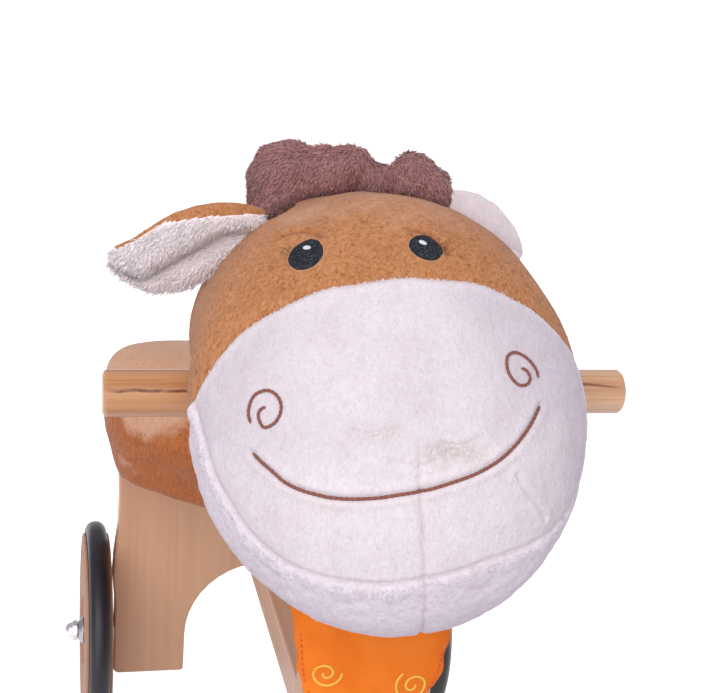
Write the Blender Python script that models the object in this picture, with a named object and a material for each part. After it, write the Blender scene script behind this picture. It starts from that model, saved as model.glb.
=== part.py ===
"""Ride-on horse: four wooden wheels with rubber tyres, two plywood leg boards,
a chassis beam, a padded seat, and a stuffed plush head on an upright neck board
with a wooden handlebar through it.

Metres, +Z up, the horse looks towards -Y, its left side is +X.
The origin is on the floor, under the middle of the bounding box.
"""

import math

import bmesh
import bpy
from mathutils import Matrix, Vector

# ---------------------------------------------------------------- dimensions
GAP = 0.0003  # between touching pieces
Y_BAR = -0.12015  # the handlebar's place along Y; everything else is set out from it

# wheels
SEG = 32  # sides of a wheel
WHEEL_R = 0.0882  # corner radius of the tyre's crown
AXLE_Z = WHEEL_R * math.cos(math.pi / SEG)  # a flat of the crown meets the floor
WHEEL_X = 0.1346  # middle plane of a tyre
TYRE_HALF = 0.0081
TYRE_IN_R = 0.0730
DISC_R = 0.0782
DISC_IN, DISC_OUT = -0.0101, 0.0101  # faces of the disc, outwards from the tyre's middle
CHANNEL_R = 0.0726
CHANNEL_HALF = 0.0084
HUB_BORE_R = 0.0068
BUSH_OUT_R, BUSH_IN_R = 0.0064, 0.0046
STUD_R = 0.0040
SPACER_R, SPACER_T = 0.0120, 0.0038  # between the leg and the wheel
CONE_R, CONE_TOP_R, CONE_T = 0.0105, 0.0072, 0.0048  # the dished washer outside the wheel

# boards
BOARD_T = 0.018
LEG_OUT, LEG_IN = 0.1200, 0.0630
LEG_BOTTOM = 0.0515
ARCH_TOP = 0.1480
REAR_Y = 0.3120  # middle plane of the rear board, from the handlebar
BEAM_HALF, BEAM_LOW, BEAM_HIGH = 0.0380, 0.2203, 0.2447
FRONT_Y = -0.0390  # middle plane of the front board, from the handlebar
NECK_HALF = 0.0380
NECK_TOP = 0.4470
BAR_Z = 0.4100
BAR_R, BAR_HALF = 0.0130, 0.1500
BLOCK_HALF, BLOCK_BACK, BLOCK_LOW, BLOCK_HIGH = 0.0300, 0.0205, 0.3815, 0.4385

# seat
SEAT_BOARD_T = 0.012
SEAT_BACK, SEAT_FRONT = 0.3260, 0.1300
SEAT_WIDE = 0.1370
SEAT_TOP = 0.3400

# head
HEAD_C = Vector((0.0, -0.055, 0.418))


# ---------------------------------------------------------------- clean start
for ob in list(bpy.data.objects):
    bpy.data.objects.remove(ob, do_unlink=True)


def material(name, colour, rough, metal=0.0):
    m = bpy.data.materials.new(name)
    m.use_nodes = True
    s = m.node_tree.nodes["Principled BSDF"]
    s.inputs["Base Color"].default_value = (*colour, 1.0)
    s.inputs["Roughness"].default_value = rough
    s.inputs["Metallic"].default_value = metal
    return m


COLOURS = {
    "wood": ((0.55, 0.33, 0.20), 0.42, 0.0),
    "wood_bar": ((0.58, 0.30, 0.14), 0.38, 0.0),
    "wood_disc": ((0.56, 0.32, 0.20), 0.45, 0.0),
    "rubber": ((0.022, 0.020, 0.024), 0.55, 0.0),
    "steel": ((0.62, 0.62, 0.64), 0.30, 1.0),
    "chrome": ((0.85, 0.85, 0.88), 0.12, 1.0),
    "nylon": ((0.80, 0.80, 0.78), 0.50, 0.0),
    "plush_brown": ((0.44, 0.20, 0.09), 0.95, 0.0),
    "plush_white": ((0.78, 0.72, 0.74), 0.95, 0.0),
    "plush_mane": ((0.20, 0.09, 0.09), 0.98, 0.0),
    "cotton": ((0.87, 0.22, 0.03), 0.85, 0.0),
}


def add(name, bm, slot, place=(0, 0, 0), smooth=35.0):
    """One object from a bmesh, with its own material."""
    bmesh.ops.remove_doubles(bm, verts=bm.verts, dist=1e-6)
    bmesh.ops.recalc_face_normals(bm, faces=bm.faces)
    me = bpy.data.meshes.new(name)
    bm.to_mesh(me)
    bm.free()
    me.shade_smooth()
    me.set_sharp_from_angle(angle=math.radians(smooth))
    ob = bpy.data.objects.new(name, me)
    bpy.context.scene.collection.objects.link(ob)
    ob.location = place
    colour, rough, metal = COLOURS[slot]
    me.materials.append(material(name, colour, rough, metal))
    return ob


def as_cutter(ob):
    ob.hide_render = True
    ob.display_type = "WIRE"
    ob.data.materials.clear()
    return ob


def cut(ob, *cutters):
    for c in cutters:
        m = ob.modifiers.new("cut", "BOOLEAN")
        m.operation = "DIFFERENCE"
        m.solver = "EXACT"
        m.object = c
    return ob


def turned(profile, sides, axis="X", phase=0.5):
    """A solid of revolution. profile holds (along, radius) from end to end; a radius of 0 closes it on the axis.
    A profile whose first and last points are the same makes a ring."""
    bm = bmesh.new()
    ring = profile[0] == profile[-1]
    points = profile[:-1] if ring else profile
    rows = []
    for along, radius in points:
        row = []
        count = 1 if radius == 0 else sides
        for i in range(count):
            a = 2 * math.pi * (i + phase) / sides
            c, s = radius * math.sin(a), -radius * math.cos(a)
            co = {"X": (along, c, s), "Y": (c, along, s), "Z": (c, s, along)}[axis]
            row.append(bm.verts.new(co))
        rows.append(row)
    pairs = list(zip(rows, rows[1:] + rows[:1])) if ring else list(zip(rows, rows[1:]))
    for a, b in pairs:
        for i in range(sides):
            j = (i + 1) % sides
            if len(a) == 1 and len(b) == 1:
                continue
            if len(a) == 1:
                bm.faces.new((a[0], b[i], b[j]))
            elif len(b) == 1:
                bm.faces.new((a[i], b[0], a[j]))
            else:
                bm.faces.new((a[i], b[i], b[j], a[j]))
    return bm


def plate(outline, thickness):
    """A flat plate: the outline in X and Z, its middle plane at Y = 0."""
    bm = bmesh.new()
    face = bm.faces.new([bm.verts.new((x, -thickness / 2, z)) for x, z in outline])
    out = bmesh.ops.extrude_face_region(bm, geom=[face])
    moved = [v for v in out["geom"] if isinstance(v, bmesh.types.BMVert)]
    bmesh.ops.translate(bm, verts=moved, vec=(0, thickness, 0))
    return bm


def soften(ob, width, segments=2, angle=40.0):
    m = ob.modifiers.new("edge", "BEVEL")
    m.width = width
    m.segments = segments
    m.limit_method = "ANGLE"
    m.angle_limit = math.radians(angle)
    return ob


def arc(cx, cz, r, a0, a1, n, rz=None):
    rz = r if rz is None else rz
    return [
        (
            cx + r * math.cos(math.radians(a0 + (a1 - a0) * i / n)),
            cz + rz * math.sin(math.radians(a0 + (a1 - a0) * i / n)),
        )
        for i in range(n + 1)
    ]


def mirrored(right):
    """A closed outline from its right half, listed from bottom middle side up to the top."""
    return right + [(-x, z) for x, z in reversed(right)]


# ---------------------------------------------------------------- wheels
def disc_profile():
    e = 0.0012
    return [
        (DISC_IN, HUB_BORE_R),
        (DISC_IN, DISC_R - e),
        (-CHANNEL_HALF, DISC_R),
        (-CHANNEL_HALF, CHANNEL_R),
        (CHANNEL_HALF, CHANNEL_R),
        (CHANNEL_HALF, DISC_R),
        (DISC_OUT - e, DISC_R),
        (DISC_OUT, DISC_R - e),
        (DISC_OUT, 0.0290),
        (DISC_OUT - 0.0010, 0.0280),
        (DISC_OUT - 0.0010, HUB_BORE_R),
        (DISC_IN, HUB_BORE_R),
    ]


def tyre_profile():
    w, r, c = TYRE_HALF, WHEEL_R, 0.0055
    crown = []
    for i in range(3):
        a = math.radians(90.0 * i / 2)
        crown.append((-w + c - c * math.cos(a), r - c + c * math.sin(a)))
    crown += [(-x, y) for x, y in reversed(crown)]
    return [(-w, TYRE_IN_R), *crown, (w, TYRE_IN_R), (-w, TYRE_IN_R)]


def wheel(tag, side, y):
    """side is +1 on the horse's left and -1 on its right. The disc, tyre and bush share an empty on the axle."""
    hub = bpy.data.objects.new("axle_" + tag, None)
    bpy.context.scene.collection.objects.link(hub)
    hub.location = (side * WHEEL_X, y, AXLE_Z)

    def out(profile):
        return [(side * a, r) for a, r in profile]

    disc = add("wheel_disc_" + tag, turned(out(disc_profile()), SEG), "wood_disc")
    tyre = add("tyre_" + tag, turned(out(tyre_profile()), SEG), "rubber")
    bush = add(
        "bush_" + tag,
        turned(
            out(
                [
                    (DISC_IN + 0.0003, BUSH_IN_R),
                    (DISC_IN + 0.0003, BUSH_OUT_R),
                    (DISC_OUT - 0.0013, BUSH_OUT_R),
                    (DISC_OUT - 0.0013, BUSH_IN_R),
                    (DISC_IN + 0.0003, BUSH_IN_R),
                ]
            ),
            12,
        ),
        "nylon",
    )
    for ob in (disc, tyre, bush):
        ob.parent = hub

    x_leg = LEG_OUT - WHEEL_X  # the leg's edge, seen from the wheel's middle
    inner = add(
        "inner_washer_" + tag,
        turned(
            out(
                [
                    (x_leg + GAP, STUD_R + GAP),
                    (x_leg + GAP, SPACER_R),
                    (x_leg + GAP + SPACER_T, SPACER_R),
                    (x_leg + GAP + SPACER_T, STUD_R + GAP),
                    (x_leg + GAP, STUD_R + GAP),
                ]
            ),
            16,
        ),
        "steel",
        (side * WHEEL_X, y, AXLE_Z),
    )
    x0 = DISC_OUT + GAP - 0.0010
    x1 = x0 + CONE_T + GAP  # where the nut starts
    outer = add(
        "outer_washer_" + tag,
        turned(
            out(
                [
                    (x0, STUD_R + GAP),
                    (x0, CONE_R),
                    (x0 + 0.0010, CONE_R),
                    (x0 + CONE_T - 0.0006, CONE_TOP_R + 0.0006),
                    (x0 + CONE_T, CONE_TOP_R),
                    (x0 + CONE_T, STUD_R + GAP),
                    (x0, STUD_R + GAP),
                ]
            ),
            16,
        ),
        "steel",
        (side * WHEEL_X, y, AXLE_Z),
    )
    stud = add(
        "stud_" + tag,
        turned(
            out([(x_leg - 0.034, 0), (x_leg - 0.034, 0.0030), (x_leg - 0.030, STUD_R), (x1 + 0.0064, STUD_R), (x1 + 0.0064, 0)]),
            12,
        ),
        "steel",
        (side * WHEEL_X, y, AXLE_Z),
    )
    # hexagon with a domed cap, open towards the wheel
    flat = 0.0075
    hexa = turned(
        out(
            [
                (x1, STUD_R + GAP),
                (x1, flat),
                (x1 + 0.0048, flat),
                (x1 + 0.0048, 0.0062),
                (x1 + 0.0072, 0.0054),
                (x1 + 0.0090, 0.0040),
                (x1 + 0.0100, 0.0020),
                (x1 + 0.0103, 0),
            ]
        ),
        12,
    )
    # the stud's blind bore
    for v in hexa.verts:
        r = math.hypot(v.co.y, v.co.z)
        if abs(r - flat) < 1e-5:  # pull the twelve corners in to six flats
            a = math.atan2(v.co.z, v.co.y)
            k = round(math.degrees(a) / 30.0 - 0.5)
            if k % 2:
                v.co.y *= 0.93
                v.co.z *= 0.93
    bore_end = x1 + 0.0064 + GAP
    rim = [v for v in hexa.verts if abs(math.hypot(v.co.y, v.co.z) - (STUD_R + GAP)) < 1e-6]
    edges = [e for e in hexa.edges if e.verts[0] in rim and e.verts[1] in rim]
    made = bmesh.ops.extrude_edge_only(hexa, edges=edges)["geom"]
    deep = [v for v in made if isinstance(v, bmesh.types.BMVert)]
    for v in deep:
        v.co.x = side * bore_end
    bmesh.ops.contextual_create(hexa, geom=[e for e in made if isinstance(e, bmesh.types.BMEdge) and all(w in deep for w in e.verts)])
    nut = add("cap_nut_" + tag, hexa, "chrome", (side * WHEEL_X, y, AXLE_Z), smooth=28.0)
    return hub, disc, tyre, bush, inner, outer, stud, nut


WHEELS = {
    "rear_left": (1, Y_BAR + REAR_Y),
    "rear_right": (-1, Y_BAR + REAR_Y),
    "front_left": (1, Y_BAR + FRONT_Y),
    "front_right": (-1, Y_BAR + FRONT_Y),
}
for tag, (side, y) in WHEELS.items():
    wheel(tag, side, y)


# ---------------------------------------------------------------- screws
def screw_profile(length, head_r=0.0042, r=0.0022):
    """Countersunk, its head's face at 0 and its tip at -length."""
    return [
        (0.0, 0.0),
        (0.0, head_r),
        (-0.0006, head_r),
        (-0.0028, r),
        (-length + 0.004, r),
        (-length, 0.0004),
        (-length, 0.0),
    ]


def clearance_profile(length, head_r=0.0042, r=0.0022):
    g = 0.0004
    return [
        (0.004, 0.0),
        (0.004, head_r + g),
        (-0.0006 - g * 0.3, head_r + g),
        (-0.0028 - g * 0.6, r + g),
        (-length - g, r + g),
        (-length - g, 0.0),
    ]


def screw(name, head, direction, length):
    """A wood screw with its head's face at head and its tip along direction, and a cutter for its hole."""
    turn = Vector((0, 0, -1)).rotation_difference(Vector(direction).normalized()).to_matrix().to_4x4()
    move = Matrix.Translation(Vector(head)) @ turn
    out = []
    for label, prof in ((name, screw_profile(length)), ("hole_" + name, clearance_profile(length))):
        bm = turned(prof, 8, axis="Z")
        bmesh.ops.recalc_face_normals(bm, faces=bm.faces)
        ob = add(label, bm, "steel")
        ob.matrix_world = move
        out.append(ob)
    as_cutter(out[1])
    return out[1]


def rod_cutter(name, a, b, r, sides):
    """A round cutter from a to b."""
    a, b = Vector(a), Vector(b)
    turn = Vector((0, 0, 1)).rotation_difference((b - a).normalized()).to_matrix().to_4x4()
    bm = turned([(0, 0), (0, r), ((b - a).length, r), ((b - a).length, 0)], sides, axis="Z")
    ob = add(name, bm, "steel")
    ob.matrix_world = Matrix.Translation(a) @ turn
    return as_cutter(ob)


# ---------------------------------------------------------------- rear board
def legs_outline(low, arch_top, shoulder):
    """The right half of a leg board from the middle of its arch to its shoulder, in X and height."""
    r = LEG_IN
    half = [(0.0, arch_top)]
    half += arc(0.0, arch_top - r, r, 90, 0, 10)[1:]
    half += [(LEG_IN, low + 0.002)]
    half += arc(LEG_IN + 0.002, low + 0.002, 0.002, 180, 270, 2)[1:]
    half += arc(LEG_OUT - 0.004, low + 0.004, 0.004, 270, 360, 2)
    half += shoulder
    return half


rear_shoulder = [
    (LEG_OUT, 0.1150),
    (LEG_OUT + 0.0022, 0.1380),
    (LEG_OUT + 0.0014, 0.1560),
    (LEG_OUT - 0.0012, 0.1800),
    (LEG_OUT - 0.0016, 0.2050),
    (LEG_OUT - 0.0008, 0.2300),
    (LEG_OUT - 0.0040, 0.2420),
    (LEG_OUT - 0.0080, BEAM_HIGH),
]
right = legs_outline(LEG_BOTTOM, ARCH_TOP, rear_shoulder)
outline = right + [(-x, z) for x, z in reversed(right[1:])]
rear_board = add("rear_board", plate(outline, BOARD_T), "wood", (0, Y_BAR + REAR_Y, 0))
soften(rear_board, 0.0030, 2)

# ---------------------------------------------------------------- front board, which is also the neck
front_shoulder = [
    (LEG_OUT, 0.1150),
    (LEG_OUT - 0.0030, 0.1400),
    (LEG_OUT - 0.0140, 0.1640),
    (LEG_OUT - 0.0350, 0.1850),
    (LEG_OUT - 0.0560, 0.1985),
    (NECK_HALF + 0.0130, 0.2100),
    (NECK_HALF + 0.0040, 0.2220),
    (NECK_HALF, 0.2360),
    (NECK_HALF, 0.4150),
    (NECK_HALF - 0.0030, 0.4300),
    (NECK_HALF - 0.0120, 0.4420),
    (NECK_HALF - 0.0240, NECK_TOP),
]
right = legs_outline(LEG_BOTTOM, ARCH_TOP, front_shoulder)
outline = right + [(-x, z) for x, z in reversed(right[1:])]
front_board = add("front_board", plate(outline, BOARD_T), "wood", (0, Y_BAR + FRONT_Y, 0))
soften(front_board, 0.0025, 2)
Y_NECK = Y_BAR + FRONT_Y  # the front board's middle plane in the part's own frame


# ---------------------------------------------------------------- chassis beam
bm = bmesh.new()
y_back = Y_BAR + REAR_Y - BOARD_T / 2 - GAP
beam_points = [
    (Y_NECK + BOARD_T / 2 + GAP, BEAM_LOW),
    (y_back, BEAM_LOW),
    (y_back, BEAM_HIGH),
    (Y_NECK + BOARD_T / 2 + GAP, BEAM_HIGH),
]
face = bm.faces.new([bm.verts.new((-BEAM_HALF, y, z)) for y, z in beam_points])
made = bmesh.ops.extrude_face_region(bm, geom=[face])["geom"]
bmesh.ops.translate(bm, verts=[v for v in made if isinstance(v, bmesh.types.BMVert)], vec=(2 * BEAM_HALF, 0, 0))
beam = add("chassis_beam", bm, "wood")
soften(beam, 0.0015, 2)


# ---------------------------------------------------------------- seat
def seat_half_width(t, inset=0.0):
    """Half width of the seat in plan. t runs from 0 at its front to 1 at its back."""
    wide = SEAT_WIDE - inset
    nose = 0.040 - inset * 0.6
    s = min(max((t - 0.06) / 0.66, 0.0), 1.0)
    w = nose + (wide - nose) * (s * s * (3 - 2 * s)) ** 0.92
    front = math.sqrt(max(0.0, 1 - (1 - min(t / 0.16, 1.0)) ** 2))
    back = math.sqrt(max(0.0, 1 - max(0.0, (t - 0.80) / 0.20) ** 2.6))
    return max(w * front * (0.30 + 0.70 * back), 0.0)


def seat_outline(inset, rows=18, back=None):
    """Closed plan outline of the seat as (x, y). back is the inset at the back end, where it differs."""
    y0, y1 = Y_BAR + SEAT_FRONT + inset, Y_BAR + SEAT_BACK - (inset if back is None else back)
    half = []
    for i in range(rows + 1):
        t = 0.5 - 0.5 * math.cos(math.pi * i / rows)
        half.append((seat_half_width(t, inset), y0 + (y1 - y0) * t))
    left = [p for p in half if p[0] > 1e-4]
    return left + [(-x, y) for x, y in reversed(left)]


SEAT_BOARD_LOW = BEAM_HIGH + GAP
SEAT_BOARD_HIGH = SEAT_BOARD_LOW + SEAT_BOARD_T


def slab(outline, low, high):
    bm = bmesh.new()
    face = bm.faces.new([bm.verts.new((x, y, low)) for x, y in outline])
    made = bmesh.ops.extrude_face_region(bm, geom=[face])["geom"]
    bmesh.ops.translate(bm, verts=[v for v in made if isinstance(v, bmesh.types.BMVert)], vec=(0, 0, high - low))
    return bm


seat_board = add("seat_board", slab(seat_outline(0.0205, 9, 0.011), SEAT_BOARD_LOW, SEAT_BOARD_HIGH), "wood")

# the stuffed seat: horizontal slices of the plan outline, fullest a little above the middle of its height
LEVELS = [
    (0.2475, 0.8800),
    (0.2530, 0.9080),
    (0.2650, 0.9440),
    (0.2800, 0.9800),
    (0.2980, 1.0000),
    (0.3120, 0.9970),
    (0.3260, 0.9750),
    (0.3365, 0.9250),
    (0.3420, 0.8450),
    (0.3440, 0.7000),
]


def seat_dip(x, y, z):
    """The top dips in the middle of its length and rises to the back."""
    t = (y - Y_BAR - SEAT_FRONT) / (SEAT_BACK - SEAT_FRONT)
    lift = max(0.0, (z - 0.300) / 0.041)
    across = 1.0 - 0.5 * min(abs(x) / SEAT_WIDE, 1.0) ** 2
    return z - 0.010 * lift * across * math.exp(-((t - 0.45) / 0.26) ** 2) - 0.014 * lift * max(0.0, 0.30 - t) / 0.30


def seat_body():
    plan = seat_outline(0.0, 16)
    cx, cy = 0.0, Y_BAR + SEAT_FRONT + 0.62 * (SEAT_BACK - SEAT_FRONT)
    bm = bmesh.new()
    rings = []
    for z, k in LEVELS:
        ring = []
        for x, y in plan:
            d = Vector((x - cx, y - cy))
            # a slice keeps its distance from the plan outline alike on all sides
            shrink = (1 - k) * SEAT_WIDE
            length = max(d.length - shrink, d.length * 0.25)
            p = Vector((cx, cy)) + d.normalized() * length
            ring.append(bm.verts.new((p.x, p.y, seat_dip(p.x, p.y, z))))
        rings.append(ring)
    n = len(plan)
    for a, b in zip(rings, rings[1:]):
        for i in range(n):
            j = (i + 1) % n
            bm.faces.new((a[i], a[j], b[j], b[i]))
    bm.faces.new(list(reversed(rings[0])))
    top = bm.verts.new((cx, cy, seat_dip(cx, cy, 0.3448)))
    for i in range(n):
        bm.faces.new((rings[-1][i], rings[-1][(i + 1) % n], top))
    return bm


seat = add("seat_cushion", seat_body(), "plush_brown")
pocket = as_cutter(add("seat_pocket", slab(seat_outline(0.0205 - 0.0008, 9, 0.011 - 0.0008), 0.2400, SEAT_BOARD_HIGH + 0.0006), "wood"))
cut(seat, pocket)

# ---------------------------------------------------------------- screws through the boards
holes = {}
for side, label in ((1, "left"), (-1, "right")):
    x = side * 0.020
    # front board to beam
    holes["front_" + label] = screw("front_screw_" + label, (x, Y_NECK - BOARD_T / 2, 0.2325), (0, 1, 0), 0.050)
    # rear board to beam
    holes["rear_" + label] = screw(
        "rear_screw_" + label, (x, Y_BAR + REAR_Y + BOARD_T / 2, 0.2325), (0, -1, 0), 0.050
    )
    # seat board to beam and to the rear board's top edge
    holes["seat_front_" + label] = screw(
        "seat_front_screw_" + label, (side * 0.022, Y_BAR + 0.205, SEAT_BOARD_HIGH), (0, 0, -1), 0.028
    )
    holes["seat_rear_" + label] = screw(
        "seat_rear_screw_" + label, (side * 0.056, Y_BAR + REAR_Y - 0.0035, SEAT_BOARD_HIGH), (0, 0, -1), 0.034
    )

stud_holes = {}
for tag, (side, y) in WHEELS.items():
    stud_holes[tag] = rod_cutter(
        "stud_hole_" + tag,
        (side * (LEG_OUT - 0.0355), y, AXLE_Z),
        (side * (LEG_OUT + 0.02), y, AXLE_Z),
        STUD_R + 0.0004,
        12,
    )

bar_hole = rod_cutter("bar_hole", (-0.2, Y_BAR, BAR_Z), (0.2, Y_BAR, BAR_Z), BAR_R + 0.0005, 24)
pin_hole = rod_cutter("pin_hole", (0.018, Y_BAR, BAR_Z - 0.0200), (0.018, Y_BAR, BAR_Z + 0.040), 0.0028, 12)
for z, label in ((0.3895, "lower"), (0.4305, "upper")):
    holes["block_" + label] = screw("block_screw_" + label, (0, Y_NECK - BOARD_T / 2, z), (0, 1, 0), 0.055)

cut(rear_board, holes["rear_left"], holes["rear_right"], holes["seat_rear_left"], holes["seat_rear_right"])
cut(rear_board, stud_holes["rear_left"], stud_holes["rear_right"])
cut(front_board, holes["front_left"], holes["front_right"], stud_holes["front_left"], stud_holes["front_right"])
cut(front_board, holes["block_lower"], holes["block_upper"])
cut(beam, *(holes[k + s] for k in ("front_", "rear_", "seat_front_") for s in ("left", "right")))
cut(seat_board, *(holes[k + s] for k in ("seat_front_", "seat_rear_") for s in ("left", "right")))

# ---------------------------------------------------------------- block behind the neck that carries the handlebar
bm = bmesh.new()
block_points = [
    (Y_NECK + BOARD_T / 2 + GAP, BLOCK_LOW),
    (Y_BAR + BLOCK_BACK, BLOCK_LOW),
    (Y_BAR + BLOCK_BACK, BLOCK_HIGH),
    (Y_NECK + BOARD_T / 2 + GAP, BLOCK_HIGH),
]
face = bm.faces.new([bm.verts.new((-BLOCK_HALF, y, z)) for y, z in block_points])
made = bmesh.ops.extrude_face_region(bm, geom=[face])["geom"]
bmesh.ops.translate(bm, verts=[v for v in made if isinstance(v, bmesh.types.BMVert)], vec=(2 * BLOCK_HALF, 0, 0))
block = add("bar_block", bm, "wood")
soften(block, 0.0012, 1)
cut(block, bar_hole, pin_hole, holes["block_lower"], holes["block_upper"])

# ---------------------------------------------------------------- handlebar and its cross pin
e = 0.0022
bar = add(
    "handlebar",
    turned(
        [
            (-BAR_HALF, 0),
            (-BAR_HALF, BAR_R - e),
            (-BAR_HALF + 0.35 * e, BAR_R - 0.35 * e),
            (-BAR_HALF + e, BAR_R),
            (BAR_HALF - e, BAR_R),
            (BAR_HALF - 0.35 * e, BAR_R - 0.35 * e),
            (BAR_HALF, BAR_R - e),
            (BAR_HALF, 0),
        ],
        24,
    ),
    "wood_bar",
    (0, Y_BAR, BAR_Z),
)
cut(bar, pin_hole)
pin = add(
    "handlebar_pin",
    turned([(-0.0195, 0), (-0.0195, 0.0024), (0.0280, 0.0024), (0.0280, 0)], 12, axis="Z"),
    "steel",
    (0.018, Y_BAR, BAR_Z),
)


# ---------------------------------------------------------------- stuffed head
HEAD_ROLL, HEAD_TURN = math.radians(-10.4), math.radians(-2.7)  # the soft head hangs a little to one side
HEAD_SHIFT = -0.0085
# ellipsoids that blend into the head: centre, radii and pitch about X, before the roll
LOBES = (
    ((0.000, -0.0860, 0.4290), (0.0993, 0.0600, 0.1080), 28.0),  # muzzle
    ((0.000, -0.0110, 0.4536), (0.0913, 0.0820, 0.0700), 20.0),  # forehead
    ((0.000, 0.0040, 0.4200), (0.0753, 0.0600, 0.0820), 0.0),  # back of the head
    ((0.000, -0.0340, 0.3860), (0.0640, 0.0560, 0.0520), 0.0),  # throat, round the neck
)


def head_field(p):
    """Under 1 inside the head: lobes joined smoothly. p is from the handlebar in Y."""
    total = 0.0
    for (cx, cy, cz), (rx, ry, rz), pitch in LOBES:
        a = math.radians(pitch)
        x, y, z = p[0] - cx, p[1] - cy, p[2] - cz
        y, z = y * math.cos(a) - z * math.sin(a), y * math.sin(a) + z * math.cos(a)
        d = math.sqrt((x / rx) ** 2 + (y / ry) ** 2 + (z / rz) ** 2)
        total += math.exp(-9.0 * (d - 1.0))
    return 1.0 - math.log(total) / 9.0


def head_reach(direction):
    """How far the head's surface lies from HEAD_C along a unit direction."""
    low, high = 0.02, 0.22
    for _ in range(26):
        mid = 0.5 * (low + high)
        if head_field(HEAD_C + direction * mid) < 1.0:
            low = mid
        else:
            high = mid
    return 0.5 * (low + high)


def head_mesh(rows, sides, grow=0.0):
    """A globe of points on the head's surface, its poles at the top and the bottom."""
    bm = bmesh.new()
    roll = Matrix.Rotation(HEAD_TURN, 3, "Z") @ Matrix.Rotation(HEAD_ROLL, 3, "Y")
    ball = bmesh.ops.create_uvsphere(bm, u_segments=sides, v_segments=rows, radius=1.0)["verts"]
    for v in ball:
        d = v.co.normalized()
        q = d * (head_reach(d) + grow)
        q = roll @ q
        v.co = (HEAD_C.x + HEAD_SHIFT + q.x, Y_BAR + HEAD_C.y + q.y, HEAD_C.z + q.z)
    return bm


head = add("head", head_mesh(18, 28), "plush_brown")
head_room = as_cutter(add("head_room", head_mesh(18, 28, 0.0006), "plush_brown"))

# ---------------------------------------------------------------- neck sleeve around the board
NECK_RX, NECK_RY = 0.0440, 0.0215
NECK_LEVELS = [
    (0.2900, -0.0040),
    (0.2960, -0.0008),
    (0.3100, 0.0),
    (0.3400, 0.0),
    (0.3720, 0.0),
]


def neck_ring(grow, n):
    """A flattened round outline in X and Y that stands round the board."""
    out = []
    for k in range(n):
        a = 2 * math.pi * (k + 0.5) / n
        c, d = math.cos(a), math.sin(a)
        e = 0.62
        out.append(
            (
                math.copysign(abs(c) ** e, c) * (NECK_RX + grow),
                Y_NECK + math.copysign(abs(d) ** e, d) * (NECK_RY + grow),
            )
        )
    return out


def neck_body(grow=0.0, n=24):
    bm = bmesh.new()
    rings = []
    for i, (z, inset) in enumerate(NECK_LEVELS):
        if grow:
            z += {0: -0.02, len(NECK_LEVELS) - 1: grow}.get(i, 0.0)
            inset = 0.0
        rings.append([bm.verts.new((x, y, z)) for x, y in neck_ring(grow + inset, n)])
    for a, b in zip(rings, rings[1:]):
        for i in range(n):
            j = (i + 1) % n
            bm.faces.new((a[i], a[j], b[j], b[i]))
    bm.faces.new(list(reversed(rings[0])))
    bm.faces.new(rings[-1])
    return bm


neck = add("neck_sleeve", neck_body(), "plush_brown")
neck_room = as_cutter(add("neck_room", neck_body(0.0006), "plush_brown"))


def box(name, low, high):
    bm = bmesh.new()
    bmesh.ops.create_cube(bm, size=1.0)
    low, high = Vector(low), Vector(high)
    for v in bm.verts:
        v.co = Vector(low[i] + (high[i] - low[i]) * (v.co[i] + 0.5) for i in range(3))
    return as_cutter(add(name, bm, "wood"))


g = 0.0006
board_room = box("board_room", (-NECK_HALF - g, Y_NECK - BOARD_T / 2 - g, 0.26), (NECK_HALF + g, Y_NECK + BOARD_T / 2 + g, NECK_TOP + g))
block_room = box("block_room", (-BLOCK_HALF - g, Y_NECK, BLOCK_LOW - g), (BLOCK_HALF + g, Y_BAR + BLOCK_BACK + g, BLOCK_HIGH + g))
cut(neck, board_room)
cut(head, neck_room, board_room, block_room, bar_hole)


# ---------------------------------------------------------------- ears
def ear(name, root, tip, width, thick, up, rows=10, sides=12):
    """A flat leaf-shaped stuffed ear from root to tip; up is roughly across its flat."""
    root, tip = Vector(root), Vector(tip)
    along = tip - root
    w = along.cross(Vector(up)).normalized()
    t = w.cross(along).normalized()
    bm = bmesh.new()
    rings = []
    for i in range(rows):
        s = (i + 0.5) / rows
        s = 0.02 + 0.97 * s
        half = width * (math.sin(math.pi * (0.20 + 0.80 * s)) ** 0.75)
        deep = thick * (math.sin(math.pi * (0.22 + 0.78 * s)) ** 0.6)
        c = root + along * s
        rings.append(
            [
                bm.verts.new(c + w * half * math.cos(2 * math.pi * k / sides) + t * deep * math.sin(2 * math.pi * k / sides))
                for k in range(sides)
            ]
        )
    a, b = bm.verts.new(root), bm.verts.new(tip)
    for p, q in zip(rings, rings[1:]):
        for i in range(sides):
            j = (i + 1) % sides
            bm.faces.new((p[i], p[j], q[j], q[i]))
    for i in range(sides):
        j = (i + 1) % sides
        bm.faces.new((a, rings[0][j], rings[0][i]))
        bm.faces.new((b, rings[-1][i], rings[-1][j]))
    return add(name, bm, "plush_brown")


ear_right = ear("ear_right", (-0.058, Y_BAR - 0.016, 0.5000), (-0.1480, Y_BAR - 0.030, 0.4930), 0.0260, 0.0075, (0.0, -0.55, 0.83))
ear_left = ear("ear_left", (0.034, Y_BAR + 0.006, 0.5080), (0.0880, Y_BAR + 0.048, 0.5040), 0.0260, 0.0075, (0.3, -0.60, 0.74))
cut(ear_right, head_room)
cut(ear_left, head_room)

# ---------------------------------------------------------------- mane: a rolled tuft over the crown and down the back
MANE_PATH = [
    # centre (from the handlebar in Y), half width, half depth across the path
    ((-0.024, -0.058, 0.5270), 0.034, 0.012),
    ((-0.025, -0.040, 0.5350), 0.048, 0.020),
    ((-0.025, -0.012, 0.5360), 0.052, 0.024),
    ((-0.022, 0.018, 0.5230), 0.048, 0.026),
    ((-0.016, 0.046, 0.4960), 0.040, 0.024),
    ((-0.008, 0.062, 0.4600), 0.034, 0.021),
    ((-0.002, 0.066, 0.4200), 0.030, 0.018),
    ((0.000, 0.058, 0.3850), 0.022, 0.013),
]


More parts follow.
